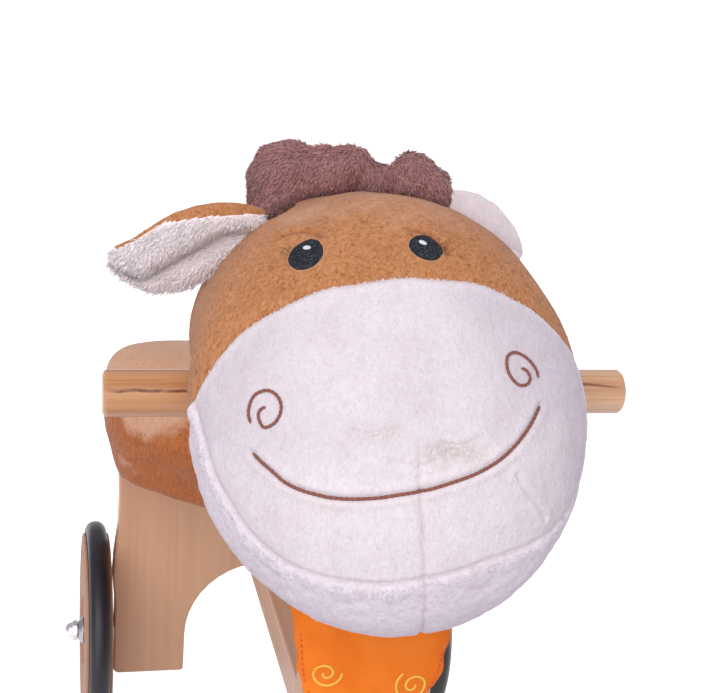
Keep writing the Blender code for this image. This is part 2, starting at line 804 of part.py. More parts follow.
def mane_body(grow=0.0, sides=16):
    bm = bmesh.new()
    pts = [Vector((x, Y_BAR + y, z)) for (x, y, z), _, _ in MANE_PATH]
    rings = []
    for i, (_, half, deep) in enumerate(MANE_PATH):
        along = (pts[min(i + 1, len(pts) - 1)] - pts[max(i - 1, 0)]).normalized()
        w = Vector((1, 0, 0))
        t = w.cross(along).normalized()
        rings.append(
            [
                bm.verts.new(
                    pts[i]
                    + w * (half + grow) * math.cos(2 * math.pi * k / sides)
                    + t * (deep + grow) * math.sin(2 * math.pi * k / sides)
                )
                for k in range(sides)
            ]
        )
    for a, b in zip(rings, rings[1:]):
        for i in range(sides):
            j = (i + 1) % sides
            bm.faces.new((a[i], a[j], b[j], b[i]))
    bm.faces.new(list(reversed(rings[0])))
    bm.faces.new(rings[-1])
    return bm


mane = add("mane", mane_body(), "plush_mane")
cut(mane, head_room)
mane_room = as_cutter(add("mane_room", mane_body(0.0008), "plush_mane"))
cut(ear_right, mane_room)
cut(ear_left, mane_room)

# ---------------------------------------------------------------- bandana: a band round the neck that hangs down as a bib in front
BIB_HALF, BAND_TOP, BAND_LOW, BIB_LOW, CLOTH = 0.0430, 0.3240, 0.2990, 0.2330, 0.0022


def bandana_body(n=44):
    """The cloth stands clear of the neck sleeve. Its lower edge drops in front to a round end."""
    bm = bmesh.new()
    rows = []
    for off, top in ((0.0018, True), (0.0018 + CLOTH, True), (0.0018 + CLOTH, False), (0.0018, False)):
        row = []
        for x, y in neck_ring(off, n):
            z = BAND_TOP
            if not top:
                u = min(abs(x) / BIB_HALF, 1.0)
                z = BAND_LOW
                if y < Y_NECK:
                    z = BAND_LOW - (BAND_LOW - BIB_LOW) * math.sqrt(max(0.0, 1 - u**5))
            row.append(bm.verts.new((x, y, z)))
        rows.append(row)
    for a, b in zip(rows, rows[1:] + rows[:1]):
        for i in range(n):
            j = (i + 1) % n
            bm.faces.new((a[i], a[j], b[j], b[i]))
    return bm


bandana = add("bandana", bandana_body(), "cotton")
cut(bandana, head_room)

# ---------------------------------------------------------------- tail
TAIL_PATH = [
    ((0.0, 0.3185, 0.3040), 0.010, 0.0060),
    ((0.0, 0.3350, 0.3010), 0.014, 0.0100),
    ((0.0, 0.3460, 0.2840), 0.018, 0.0130),
    ((0.0, 0.3500, 0.2500), 0.022, 0.0150),
    ((0.0, 0.3500, 0.2150), 0.024, 0.0150),
    ((0.0, 0.3480, 0.1850), 0.020, 0.0130),
    ((0.0, 0.3460, 0.1640), 0.009, 0.0060),
]


def tail_body(sides=14):
    bm = bmesh.new()
    pts = [Vector((x, Y_BAR + y, z)) for (x, y, z), _, _ in TAIL_PATH]
    rings = []
    for i, (_, half, deep) in enumerate(TAIL_PATH):
        along = (pts[min(i + 1, len(pts) - 1)] - pts[max(i - 1, 0)]).normalized()
        w = Vector((1, 0, 0))
        t = w.cross(along).normalized()
        rings.append(
            [
                bm.verts.new(pts[i] + w * half * math.cos(2 * math.pi * k / sides) + t * deep * math.sin(2 * math.pi * k / sides))
                for k in range(sides)
            ]
        )
    for a, b in zip(rings, rings[1:]):
        for i in range(sides):
            j = (i + 1) % sides
            bm.faces.new((a[i], a[j], b[j], b[i]))
    bm.faces.new(list(reversed(rings[0])))
    bm.faces.new(rings[-1])
    return bm


tail = add("tail", tail_body(), "plush_mane")
seat_room = seat_body()
for v in seat_room.verts:  # the seat grown by 0.6 mm, for the tail's root
    v.co += Vector((v.co.x, v.co.y - (Y_BAR + 0.245), 0)).normalized() * 0.0006
cut(tail, as_cutter(add("seat_room", seat_room, "plush_brown")))
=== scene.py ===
"""Looks of the ride-on horse: plush head, mane, ears and seat, lacquered wood, rubber tyres and a cotton bandana,
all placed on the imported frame. Metres, +Z up, the horse looks towards -Y."""

import math

import bmesh
import bpy
import numpy as np
from mathutils import Matrix, Vector, kdtree, noise


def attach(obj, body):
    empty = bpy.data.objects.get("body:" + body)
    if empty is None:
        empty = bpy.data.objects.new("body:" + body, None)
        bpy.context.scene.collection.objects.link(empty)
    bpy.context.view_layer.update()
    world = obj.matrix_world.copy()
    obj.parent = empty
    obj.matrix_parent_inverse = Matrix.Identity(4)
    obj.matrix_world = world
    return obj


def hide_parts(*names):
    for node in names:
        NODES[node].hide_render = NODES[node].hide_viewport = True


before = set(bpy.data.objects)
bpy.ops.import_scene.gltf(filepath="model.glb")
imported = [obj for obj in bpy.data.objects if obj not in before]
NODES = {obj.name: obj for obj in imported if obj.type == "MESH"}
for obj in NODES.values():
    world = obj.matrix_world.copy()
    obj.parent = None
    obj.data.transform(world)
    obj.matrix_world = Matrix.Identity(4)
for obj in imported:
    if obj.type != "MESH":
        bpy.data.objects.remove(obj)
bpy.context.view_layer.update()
BODY = "horse"

Y_BAR = -0.12015  # the handlebar's place along Y
Y_NECK = Y_BAR - 0.0390
BOARD_T = 0.018
BAR_VEIN = 0.4181  # height of the short vein at the handlebar's left end

scene = bpy.context.scene
scene.view_settings.view_transform = "Standard"
scene.view_settings.look = "None"
scene.view_settings.exposure = 0.0
scene.view_settings.gamma = 1.0


# ------------------------------------------------------------------ camera
def make_camera():
    az, pitch, roll = (math.radians(a) for a in (13.73, 18.18, 4.59))
    back = Vector((-math.sin(az) * math.cos(pitch), -math.cos(az) * math.cos(pitch), math.sin(pitch)))
    right = (-back).cross(Vector((0, 0, 1))).normalized()
    up = right.cross(-back)
    x = right * math.cos(roll) + up * math.sin(roll)
    y = -right * math.sin(roll) + up * math.cos(roll)
    place = Vector((-0.008, Y_BAR, 0.4373)) + back * 0.8068
    data = bpy.data.cameras.new("camera")
    data.sensor_fit = "HORIZONTAL"
    data.sensor_width = 36.0
    data.lens = 72.0
    data.clip_start = 0.01
    data.clip_end = 200.0
    ob = bpy.data.objects.new("camera", data)
    scene.collection.objects.link(ob)
    m = Matrix((x, y, back)).transposed().to_4x4()
    m.translation = place
    ob.matrix_world = m
    scene.camera = ob
    return ob


make_camera()


# ------------------------------------------------------------------ node helpers
def rgb(r, g, b):
    """A colour given as 0-255 screen values, as linear light."""

    def lin(c):
        c /= 255.0
        return c / 12.92 if c <= 0.04045 else ((c + 0.055) / 1.055) ** 2.4

    return (lin(r), lin(g), lin(b), 1.0)


class Tree:
    """A material and short ways to add nodes to it."""

    def __init__(self, name):
        self.mat = bpy.data.materials.new(name)
        self.mat.use_nodes = True
        self.nt = self.mat.node_tree
        self.nt.nodes.clear()
        self.out = self.nt.nodes.new("ShaderNodeOutputMaterial")
        self.bsdf = self.nt.nodes.new("ShaderNodeBsdfPrincipled")
        self.link(self.bsdf.outputs[0], self.out.inputs[0])
        self.where = self.nt.nodes.new("ShaderNodeTexCoord").outputs["Object"]

    def link(self, a, b):
        self.nt.links.new(a, b)

    def set(self, **values):
        for k, v in values.items():
            self.bsdf.inputs[k.replace("_", " ")].default_value = v
        return self

    def to(self, socket, out):
        self.link(out, self.bsdf.inputs[socket])
        return self

    def mapped(self, scale=(1, 1, 1), turn=(0, 0, 0), move=(0, 0, 0), source=None):
        n = self.nt.nodes.new("ShaderNodeMapping")
        n.inputs["Scale"].default_value = scale
        n.inputs["Rotation"].default_value = turn
        n.inputs["Location"].default_value = move
        self.link(source or self.where, n.inputs["Vector"])
        return n.outputs[0]

    def noise(self, scale, detail=2.0, rough=0.5, distort=0.0, vector=None):
        n = self.nt.nodes.new("ShaderNodeTexNoise")
        n.inputs["Scale"].default_value = scale
        n.inputs["Detail"].default_value = detail
        n.inputs["Roughness"].default_value = rough
        n.inputs["Distortion"].default_value = distort
        self.link(vector or self.where, n.inputs["Vector"])
        return n.outputs["Fac"]

    def voronoi(self, scale, feature="F1", vector=None, output="Distance", random=1.0):
        n = self.nt.nodes.new("ShaderNodeTexVoronoi")
        n.feature = feature
        n.inputs["Scale"].default_value = scale
        n.inputs["Randomness"].default_value = random
        self.link(vector or self.where, n.inputs["Vector"])
        return n.outputs[output]

    def wave(self, scale, axis="X", distort=0.0, vector=None, detail=1.0, profile="SIN"):
        n = self.nt.nodes.new("ShaderNodeTexWave")
        n.bands_direction = axis
        n.wave_profile = profile
        n.inputs["Scale"].default_value = scale
        n.inputs["Distortion"].default_value = distort
        n.inputs["Detail"].default_value = detail
        self.link(vector or self.where, n.inputs["Vector"])
        return n.outputs["Fac"]

    def ramp(self, fac, stops):
        n = self.nt.nodes.new("ShaderNodeValToRGB")
        el = n.color_ramp.elements
        while len(el) < len(stops):
            el.new(0.5)
        for e, (at, colour) in zip(el, stops):
            e.position = at
            e.color = colour if hasattr(colour, "__len__") else (colour, colour, colour, 1.0)
        self.link(fac, n.inputs[0])
        return n.outputs[0]

    def mix(self, fac, a, b, how="MIX"):
        n = self.nt.nodes.new("ShaderNodeMix")
        n.data_type = "RGBA"
        n.blend_type = how
        for socket, value in ((n.inputs[0], fac), (n.inputs[6], a), (n.inputs[7], b)):
            if isinstance(value, bpy.types.NodeSocket):
                self.link(value, socket)
            else:
                socket.default_value = value
        return n.outputs[2]

    def math(self, op, a, b=0.5, clamp=False):
        n = self.nt.nodes.new("ShaderNodeMath")
        n.operation = op
        n.use_clamp = clamp
        for socket, value in ((n.inputs[0], a), (n.inputs[1], b)):
            if isinstance(value, bpy.types.NodeSocket):
                self.link(value, socket)
            else:
                socket.default_value = value
        return n.outputs[0]

    def attribute(self, name):
        n = self.nt.nodes.new("ShaderNodeAttribute")
        n.attribute_name = name
        return n.outputs["Fac"]

    def bump(self, height, strength=0.5, distance=0.001, under=None):
        n = self.nt.nodes.new("ShaderNodeBump")
        n.inputs["Strength"].default_value = strength
        n.inputs["Distance"].default_value = distance
        self.link(height, n.inputs["Height"])
        if under is not None:
            self.link(under, n.inputs["Normal"])
        return n.outputs[0]


# ------------------------------------------------------------------ materials
def wood(name, deep, mid, light, along="X", streaks=0.0, rough=0.42, seed=0.0, figure=0.35, mark=False, coat=0.25):
    """Lacquered wood with its grain along one axis."""
    t = Tree(name)
    fast, slow = 150.0, 3.2
    scale = {"X": (slow, fast, fast), "Y": (fast, slow, fast), "Z": (fast, fast, slow)}[along]
    v = t.mapped(scale, move=(seed, seed * 1.7, seed * 0.6))
    grain = t.noise(1.0, 4.0, 0.62, 0.6, v)
    rings_v = t.mapped(tuple(s * 0.12 for s in scale), move=(seed * 2, seed, seed))
    rings = t.noise(1.0, 2.0, 0.5, 1.2, rings_v)
    pores_v = t.mapped(tuple(s * 4.2 if s == fast else s * 9.0 for s in scale), move=(seed, 0, seed))
    pores = t.noise(1.0, 1.0, 0.5, 0.0, pores_v)
    colour = t.ramp(grain, [(0.30, deep), (0.50, mid), (0.72, light)])
    wide = t.ramp(rings, [(0.32, (0.84, 0.80, 0.76, 1)), (0.52, (1, 1, 1, 1)), (0.70, (1.05, 1.04, 1.03, 1))])
    colour = t.mix(figure, colour, wide, "MULTIPLY")
    fleck = t.ramp(pores, [(0.30, (0.80, 0.74, 0.68, 1)), (0.42, (1, 1, 1, 1))])
    colour = t.mix(figure * 0.5, colour, fleck, "MULTIPLY")
    if streaks:
        line_v = t.mapped(tuple(s * 2.6 if s == fast else s * 2.2 for s in scale), move=(seed * 3, 1.3, 0.4))
        line = t.noise(1.0, 2.0, 0.5, 0.2, line_v)
        mask = t.ramp(line, [(0.64, 0.0), (0.70, 1.0)])
        colour = t.mix(t.math("MULTIPLY", mask, streaks), colour, rgb(150, 92, 54))
    if mark:
        # one long dark vein along the bar's front
        split = t.nt.nodes.new("ShaderNodeSeparateXYZ")
        t.link(t.where, split.inputs[0])
        sway = t.math("MULTIPLY", t.math("SUBTRACT", t.noise(1.0, 3.0, 0.6, 0.0, t.mapped((55.0, 0.0, 0.0))), 0.5), 0.0042)
        off = t.math("ABSOLUTE", t.math("SUBTRACT", t.math("SUBTRACT", split.outputs[2], 0.4155), sway))
        thin = t.ramp(t.math("DIVIDE", off, 0.0016), [(0.30, 1.0), (0.62, 0.0)])
        ends = t.ramp(t.math("MULTIPLY", split.outputs[0], -1.0), [(0.080, 0.0), (0.086, 1.0), (0.143, 1.0), (0.149, 0.0)])
        front = t.ramp(t.math("MULTIPLY", split.outputs[1], -1.0), [(0.120, 0.0), (0.123, 1.0)])
        broken = t.ramp(t.noise(1.0, 2.0, 0.6, 0.0, t.mapped((150.0, 0.0, 0.0), move=(2.0, 0, 0))), [(0.30, 0.45), (0.55, 1.0)])
        mask = t.math("MULTIPLY", t.math("MULTIPLY", thin, ends), t.math("MULTIPLY", front, broken))
        colour = t.mix(mask, colour, rgb(112, 58, 32))
        # a painted lilac highlight makes the bar's left end paler, and a short dark vein runs there
        pale = t.ramp(split.outputs[0], [(0.080, 0.0), (0.105, 1.0)])
        colour = t.mix(pale, colour, t.mix(1.0, colour, (1.20, 1.46, 1.95, 1.0), "MULTIPLY"))
        slope = t.math("MULTIPLY", t.math("SUBTRACT", split.outputs[0], 0.126), -0.08)
        off = t.math("ABSOLUTE", t.math("SUBTRACT", t.math("SUBTRACT", t.math("SUBTRACT", split.outputs[2], BAR_VEIN), slope), t.math("MULTIPLY", sway, 0.4)))
        thin = t.ramp(t.math("DIVIDE", off, 0.0013), [(0.30, 1.0), (0.70, 0.0)])
        ends = t.ramp(split.outputs[0], [(0.106, 0.0), (0.122, 1.0), (0.140, 0.8), (0.147, 0.0)])
        colour = t.mix(t.math("MULTIPLY", t.math("MULTIPLY", thin, ends), t.math("MULTIPLY", front, 0.85)), colour, rgb(122, 72, 52))
    t.to("Base Color", colour)
    shine = t.ramp(grain, [(0.3, rough + 0.06), (0.7, rough - 0.05)])
    t.to("Roughness", shine)
    t.to("Normal", t.bump(t.math("ADD", grain, pores), 0.10, 0.0005))
    t.set(Coat_Weight=coat, Coat_Roughness=0.22, Specular_IOR_Level=0.45 if coat > 0.1 else 0.2)
    return t.mat


def metal(name, colour, rough, scratch=260.0):
    t = Tree(name)
    n = t.noise(scratch, 3.0, 0.6, 0.0, t.mapped((1.0, 6.0, 1.0)))
    t.to("Base Color", t.ramp(n, [(0.3, tuple(c * 0.86 for c in colour[:3]) + (1,)), (0.7, colour)]))
    t.to("Roughness", t.ramp(n, [(0.3, rough * 1.5), (0.7, rough * 0.75)]))
    t.set(Metallic=1.0)
    t.to("Normal", t.bump(n, 0.05, 0.0002))
    return t.mat


def rubber(name):
    t = Tree(name)
    big = t.noise(42.0, 3.0, 0.55)
    fine = t.noise(1500.0, 2.0, 0.6)
    t.to("Base Color", t.ramp(big, [(0.3, rgb(22, 19, 26)), (0.7, rgb(31, 27, 36))]))
    t.to("Roughness", t.ramp(big, [(0.3, 0.46), (0.7, 0.34)]))
    t.to("Normal", t.bump(t.math("ADD", fine, t.math("MULTIPLY", big, 0.6)), 0.22, 0.0005))
    t.set(Specular_IOR_Level=0.42)
    return t.mat


def nylon(name):
    t = Tree(name)
    n = t.noise(420.0, 2.0)
    t.to("Base Color", t.ramp(n, [(0.3, rgb(218, 216, 208)), (0.7, rgb(236, 234, 228))]))
    t.to("Roughness", t.ramp(n, [(0.3, 0.5), (0.7, 0.4)]))
    t.to("Normal", t.bump(n, 0.08, 0.0003))
    return t.mat


def pile(t, deep, mid, light, nap=(1.0, 1.0, 0.42), size=1.0, patch=0.5, speckle=0.6):
    """The colour of a short pile: speckles between the fibres, streaks along the nap and brushed patches."""
    v = t.mapped(nap)
    clump = t.noise(560.0 / size, 3.0, 0.60, 0.8, v)
    fibre = t.noise(1500.0 / size, 2.0, 0.6, 0.2, t.mapped(tuple(n * n for n in nap)))
    brushed = t.noise(30.0 / size, 4.0, 0.60, 1.2)
    base = t.ramp(clump, [(0.28, deep), (0.44, mid), (0.66, light)])
    tone = t.ramp(brushed, [(0.32, (0.88, 0.85, 0.82, 1)), (0.50, (1, 1, 1, 1)), (0.68, (1.07, 1.07, 1.08, 1))])
    base = t.mix(patch, base, tone, "MULTIPLY")
    speck = t.ramp(fibre, [(0.30, (0.78, 0.74, 0.72, 1)), (0.48, (1, 1, 1, 1)), (0.72, (1.06, 1.06, 1.06, 1))])
    return t.mix(speckle, base, speck, "MULTIPLY"), clump, fibre, brushed


BROWN = (rgb(155, 94, 55), rgb(187, 126, 82), rgb(203, 148, 106))
WHITE = (rgb(221, 211, 214), rgb(229, 220, 223), rgb(236, 229, 232))
# the chin panel's white: a little darker and more lilac than the muzzle's, as painted lilac shade under the chin
CHIN_SHADED_WHITE = (rgb(216, 205, 213), rgb(226, 217, 224), rgb(235, 228, 235))
MANE = (rgb(106, 66, 66), rgb(146, 102, 102), rgb(168, 124, 122))
EARW = (rgb(238, 221, 225), rgb(245, 232, 236), rgb(250, 240, 244))


def plush_head(name):
    t = Tree(name)
    brown, clump, fibre, brushed = pile(t, *BROWN, nap=(1.0, 1.0, 0.62), patch=0.75)
    pressed_and_sheen, _, _, _ = pile(t, rgb(186, 132, 96), rgb(202, 150, 114), rgb(214, 168, 136), nap=(0.5, 1.0, 0.9), patch=0.4, speckle=0.35)
    white, clump_w, fibre_w, _ = pile(t, *WHITE, nap=(1.1, 1.0, 0.50), size=0.9, patch=0.30, speckle=0.12)
    stroke = t.noise(1.0, 3.0, 0.6, 1.4, t.mapped((70.0, 70.0, 22.0), turn=(0.0, 0.5, 0.0)))
    white = t.mix(0.6, white, t.ramp(stroke, [(0.35, (0.95, 0.945, 0.95, 1)), (0.5, (1, 1, 1, 1)), (0.65, (1.03, 1.03, 1.03, 1))]), "MULTIPLY")
    chin, _, _, _ = pile(t, *CHIN_SHADED_WHITE, nap=(0.8, 1.0, 0.9), size=1.3, patch=0.3, speckle=0.12)
    zone, under, shade, light, smudge = (t.attribute(a) for a in ("zone", "under", "shade", "light", "smudge"))
    # where the 'light' attribute is high the brown takes paler, smoother colours: partly real flattened pile and
    # partly painted sheen
    torn = t.math("ADD", light, t.math("MULTIPLY", t.math("SUBTRACT", t.noise(60.0, 4.0, 0.7, 1.0), 0.5), 1.3))
    brown = t.mix(t.ramp(torn, [(0.30, 0.0), (0.75, 0.95)]), brown, pressed_and_sheen)
    white = t.mix(t.math("MULTIPLY", smudge, t.ramp(t.noise(240.0, 3.0, 0.6, 1.5), [(0.35, 0.0), (0.65, 1.0)])), white, rgb(192, 180, 170))
    # painted shade: the 'tone' attribute darkens and cools the white towards the muzzle's upper part and both sides
    white = t.mix(t.attribute("tone"), white, t.mix(1.0, white, (0.82, 0.81, 0.85, 1.0), "MULTIPLY"))
    # painted lilac shade: below the chin seam the white takes the chin panel's darker, more lilac colours
    colour = t.mix(under, white, chin)
    frayed = t.math("ADD", zone, t.math("MULTIPLY", t.math("SUBTRACT", t.noise(900.0, 2.0, 0.6, 0.4, t.mapped((1.0, 1.0, 0.45))), 0.5), 0.9))
    colour = t.mix(t.ramp(frayed, [(0.42, 0.0), (0.58, 1.0)]), brown, colour)
    colour = t.mix(shade, colour, t.mix(1.0, colour, (0.74, 0.68, 0.68, 1.0), "MULTIPLY"))
    t.to("Base Color", colour)
    height = t.math("ADD", clump, t.math("MULTIPLY", fibre, 0.7))
    fine = t.bump(height, 0.60, 0.0010, t.bump(t.noise(150.0, 3.0, 0.6, 1.0), 0.25, 0.0020))
    t.link(t.ramp(zone, [(0.3, 0.65), (0.7, 0.25)]), fine.node.inputs["Strength"])
    t.to("Normal", fine)
    t.set(Roughness=0.95, Sheen_Weight=0.20, Sheen_Roughness=0.40, Sheen_Tint=(1.0, 0.95, 0.94, 1.0), Specular_IOR_Level=0.08)
    return t.mat


def plush(name, colours, nap=(1.0, 1.0, 0.5), size=1.0, sheen=0.3, tint=(1, 0.95, 0.92, 1), patch=0.6, strength=0.5, lean=None, speckle=0.6):
    t = Tree(name)
    colour, clump, fibre, brushed = pile(t, *colours, nap=nap, size=size, patch=patch, speckle=speckle)
    if lean is not None:
        # painted light and sheen: where the 'light' attribute is high the cover takes the paler lean colours, with a
        # torn edge
        flat, _, _, _ = pile(t, *lean, nap=nap, size=size, patch=0.35, speckle=0.25)
        edge = t.math("ADD", t.attribute("light"), t.math("MULTIPLY", t.math("SUBTRACT", t.noise(62.0, 5.0, 0.75, 0.8), 0.5), 1.25))
        colour = t.mix(t.ramp(edge, [(0.22, 0.0), (0.80, 1.0)]), colour, flat)
    t.to("Base Color", colour)
    t.to("Normal", t.bump(t.math("ADD", clump, t.math("MULTIPLY", fibre, 0.7)), strength, 0.0012))
    t.set(Roughness=0.95, Sheen_Weight=sheen, Sheen_Roughness=0.40, Sheen_Tint=tint, Specular_IOR_Level=0.10)
    return t.mat


def fur(name, root, body, tip, sheen=0.35, tint=(1, 0.92, 0.9, 1), vary=1.0):
    """Colour of single tufts, dark at the root and light at the tip, each a little different."""
    t = Tree(name)
    along, own = t.attribute("along"), t.attribute("own")
    colour = t.ramp(along, [(0.0, root), (0.45, body), (1.0, tip)])
    tone = t.ramp(own, [(0.0, (0.50, 0.46, 0.46, 1)), (0.18, (0.80, 0.78, 0.78, 1)), (0.5, (1, 1, 1, 1)), (1.0, (1.20, 1.18, 1.16, 1))])
    colour = t.mix(vary, colour, tone, "MULTIPLY")
    soft = t.noise(60.0, 2.0)
    colour = t.mix(0.5 * vary, colour, t.ramp(soft, [(0.35, (0.84, 0.82, 0.82, 1)), (0.65, (1.05, 1.05, 1.05, 1))]), "MULTIPLY")
    t.to("Base Color", colour)
    t.set(Roughness=0.72, Sheen_Weight=sheen, Sheen_Roughness=0.35, Sheen_Tint=tint, Specular_IOR_Level=0.25)
    t.to("Normal", t.bump(t.noise(2400.0, 1.0), 0.15, 0.0003))
    return t.mat


def thread(name, deep, light):
    """Embroidery yarn with its twist."""
    t = Tree(name)
    twist = t.noise(1700.0, 2.0, 0.5)
    t.to("Base Color", t.ramp(twist, [(0.32, deep), (0.66, light)]))
    t.to("Normal", t.bump(twist, 0.5, 0.0004))
    t.set(Roughness=0.62, Sheen_Weight=0.3, Sheen_Roughness=0.4, Specular_IOR_Level=0.3)
    return t.mat


def cotton(name):
    """Plain woven cotton: fine crossed yarns, slightly uneven."""
    t = Tree(name)
    v = t.mapped((1, 1, 1))
    warp = t.wave(560.0, "X", 0.35, v)
    weft = t.wave(560.0, "Z", 0.35, v)
    weave = t.math("MULTIPLY", warp, weft)
    soft = t.noise(38.0, 3.0, 0.6, 0.4)
    slub = t.noise(1.0, 2.0, 0.5, 0.0, t.mapped((60, 60, 900)))
    colour = t.ramp(soft, [(0.30, rgb(246, 122, 30)), (0.52, rgb(253, 134, 40)), (0.72, rgb(255, 144, 52))])
    colour = t.mix(0.35, colour, t.ramp(weave, [(0.1, (0.86, 0.80, 0.72, 1)), (0.6, (1.04, 1.04, 1.04, 1))]), "MULTIPLY")
    colour = t.mix(0.25, colour, t.ramp(slub, [(0.35, (0.90, 0.88, 0.84, 1)), (0.6, (1, 1, 1, 1))]), "MULTIPLY")
    t.to("Base Color", colour)
    t.to("Normal", t.bump(t.math("ADD", weave, t.math("MULTIPLY", slub, 0.5)), 0.35, 0.0004))
    t.set(Roughness=0.9, Sheen_Weight=0.1, Sheen_Roughness=0.5, Sheen_Tint=(1.0, 0.7, 0.4, 1.0), Specular_IOR_Level=0.12)
    return t.mat


def eye_stitch(name):
    """Blue-black satin stitches with a glitter in them."""
    t = Tree(name)
    cell = t.voronoi(2300.0, output="Color")
    n = t.nt.nodes.new("ShaderNodeSeparateColor")
    t.link(cell, n.inputs[0])
    spark = t.ramp(n.outputs[0], [(0.78, 0.0), (0.99, 1.0)])
    line = t.noise(1.0, 2.0, 0.6, 0.2, t.mapped((2200, 600, 500)))
    base = t.ramp(line, [(0.34, rgb(18, 20, 25)), (0.66, rgb(38, 42, 50))])
    t.to("Base Color", t.mix(t.math("MULTIPLY", spark, 0.42), base, rgb(120, 128, 144)))
    t.to("Normal", t.bump(line, 0.6, 0.0004))
    t.set(Roughness=0.62, Specular_IOR_Level=0.22)
    return t.mat


M = {
    "wood_board": wood("wood_board", rgb(196, 150, 115), rgb(202, 156, 121), rgb(206, 161, 127), "Z", rough=0.46, figure=0.12),
    "wood_beam": wood("wood_beam", rgb(198, 154, 124), rgb(206, 163, 134), rgb(212, 171, 143), "Y", rough=0.44, seed=3.1, figure=0.2),
    "wood_seat": wood("wood_seat", rgb(194, 148, 115), rgb(205, 160, 128), rgb(211, 168, 137), "X", rough=0.48, seed=5.3, figure=0.22),
    # the handlebar: a long dark vein on its right end, and a painted lilac highlight with a short vein on its left end
    "wood_bar": wood("wood_bar", rgb(178, 119, 72), rgb(199, 145, 97), rgb(210, 162, 118), "X", streaks=0.35, rough=0.34, seed=1.7, figure=0.40, mark=True),
    "wood_disc": wood("wood_disc", rgb(158, 112, 87), rgb(173, 127, 100), rgb(184, 138, 110), "Z", rough=0.60, seed=7.9, figure=0.2, coat=0.04),
    "rubber": rubber("tyre_rubber"),
    "steel": metal("zinc_steel", (0.42, 0.41, 0.44, 1.0), 0.32),
    "chrome": metal("chrome", (0.74, 0.72, 0.75, 1.0), 0.24, 120.0),
    "nylon": nylon("bush_nylon"),
    "head": plush_head("head_plush"),
    "brown": plush("brown_plush", BROWN),
    # the seat: its dark colours are its own; its paler lean colours are painted light and sheen
    "seat": plush("seat_plush", (rgb(149, 83, 43), rgb(174, 102, 58), rgb(188, 117, 74)), patch=0.5, size=1.2, lean=(rgb(194, 145, 114), rgb(205, 159, 128), rgb(212, 169, 139))),
    "mane": plush("mane_plush", MANE, size=1.6, strength=0.8),
    "ear_white": plush("ear_white_plush", EARW, size=1.3, speckle=0.2, patch=0.25),
    "mane_fur": fur("mane_fur", rgb(110, 68, 67), rgb(175, 123, 122), rgb(201, 154, 150)),
    "white_fur": fur("white_fur", rgb(240, 221, 222), rgb(255, 245, 246), rgb(255, 252, 252), 0.35, vary=0.22),
    "brown_fur": fur("brown_fur", rgb(158, 96, 54), rgb(192, 128, 80), rgb(210, 152, 106), vary=0.85),
    "fringe_fur": fur("fringe_fur", rgb(234, 226, 232), rgb(242, 235, 241), rgb(250, 245, 249), 0.2, vary=0.12),
    "muzzle_fur": fur("muzzle_fur", rgb(222, 211, 214), rgb(232, 223, 227), rgb(241, 234, 239), 0.2, vary=0.22),
    "thread": thread("brown_thread", rgb(110, 62, 50), rgb(156, 100, 86)),
    "eye": eye_stitch("eye_stitch"),
    "glint": thread("white_thread", rgb(206, 206, 222), rgb(232, 232, 242)),
    "rim": thread("pale_thread", rgb(196, 142, 98), rgb(216, 168, 126)),
    "lash": thread("dark_thread", rgb(40, 34, 36), rgb(84, 72, 70)),
    "cotton": cotton("orange_cotton"),
    "gold": thread("gold_print", rgb(246, 190, 48), rgb(254, 214, 84)),
    "hem": thread("hem_thread", rgb(218, 62, 14), rgb(240, 90, 28)),
}

CAD_MATERIALS = {
    "rear_board": "wood_board",
    "front_board": "wood_board",
    "chassis_beam": "wood_beam",
    "seat_board": "wood_board",
    "bar_block": "wood_beam",
    "handlebar": "wood_bar",
}
for name, ob in NODES.items():
    key = CAD_MATERIALS.get(name)
    if key is None:
        if name.startswith("bush_"):
            key = "nylon"
        elif name.startswith("cap_nut_"):
            key = "chrome"
        elif "screw" in name or "washer" in name or "stud" in name or name == "handlebar_pin":
            key = "steel"
        elif name.startswith("tyre_"):
            key = "rubber"
        elif name.startswith("wheel_disc_"):
            key = "wood_disc"
    if key:
        ob.data.materials.clear()
        ob.data.materials.append(M[key])


# ------------------------------------------------------------------ mesh helpers
def to_object(name, verts, faces, mats, smooth=True):
    me = bpy.data.meshes.new(name)
    me.from_pydata([tuple(map(float, v)) for v in verts], [], faces)
    me.validate(clean_customdata=False)
    for m in mats if isinstance(mats, (list, tuple)) else [mats]:
        me.materials.append(m)
    if smooth:
        me.shade_smooth()
    ob = bpy.data.objects.new(name, me)
    scene.collection.objects.link(ob)
    return ob


def get_co(me):
    co = np.empty(len(me.vertices) * 3, np.float32)
    me.vertices.foreach_get("co", co)
    return co.reshape(-1, 3).astype(float)


def set_co(me, co):
    me.vertices.foreach_set("co", np.asarray(co, np.float32).ravel())
    me.update()


def get_normals(me):
    n = np.empty(len(me.vertices) * 3, np.float32)
    me.vertex_normals.foreach_get("vector", n)
    return n.reshape(-1, 3).astype(float)


def put_attribute(me, name, values):
    a = me.attributes.new(name, "FLOAT", "POINT")
    a.data.foreach_set("value", np.asarray(values, np.float32))


def noise_at(P, size, seed=0.0, octaves=1):
    """Smooth noise of a given feature size in metres, from about -1 to 1, at each point."""
    k = 1.0 / size
    out = np.empty(len(P))
    if octaves == 1:
        for i, p in enumerate(P):
            out[i] = noise.noise((p[0] * k + seed, p[1] * k - seed, p[2] * k + 2 * seed))
    else:
        for i, p in enumerate(P):
            out[i] = noise.fractal((p[0] * k + seed, p[1] * k - seed, p[2] * k + 2 * seed), 1.0, 2.0, octaves)
    return out


def nearest(P, line):
    """Distance from each point to a dense line of points, and the index of the nearest."""
    tree = kdtree.KDTree(len(line))
    for i, q in enumerate(line):
        tree.insert(q, i)
    tree.balance()
    dist, index = np.empty(len(P)), np.empty(len(P), int)
    for i, p in enumerate(P):
        _, j, d = tree.find(p)
        dist[i], index[i] = d, j
    return dist, index


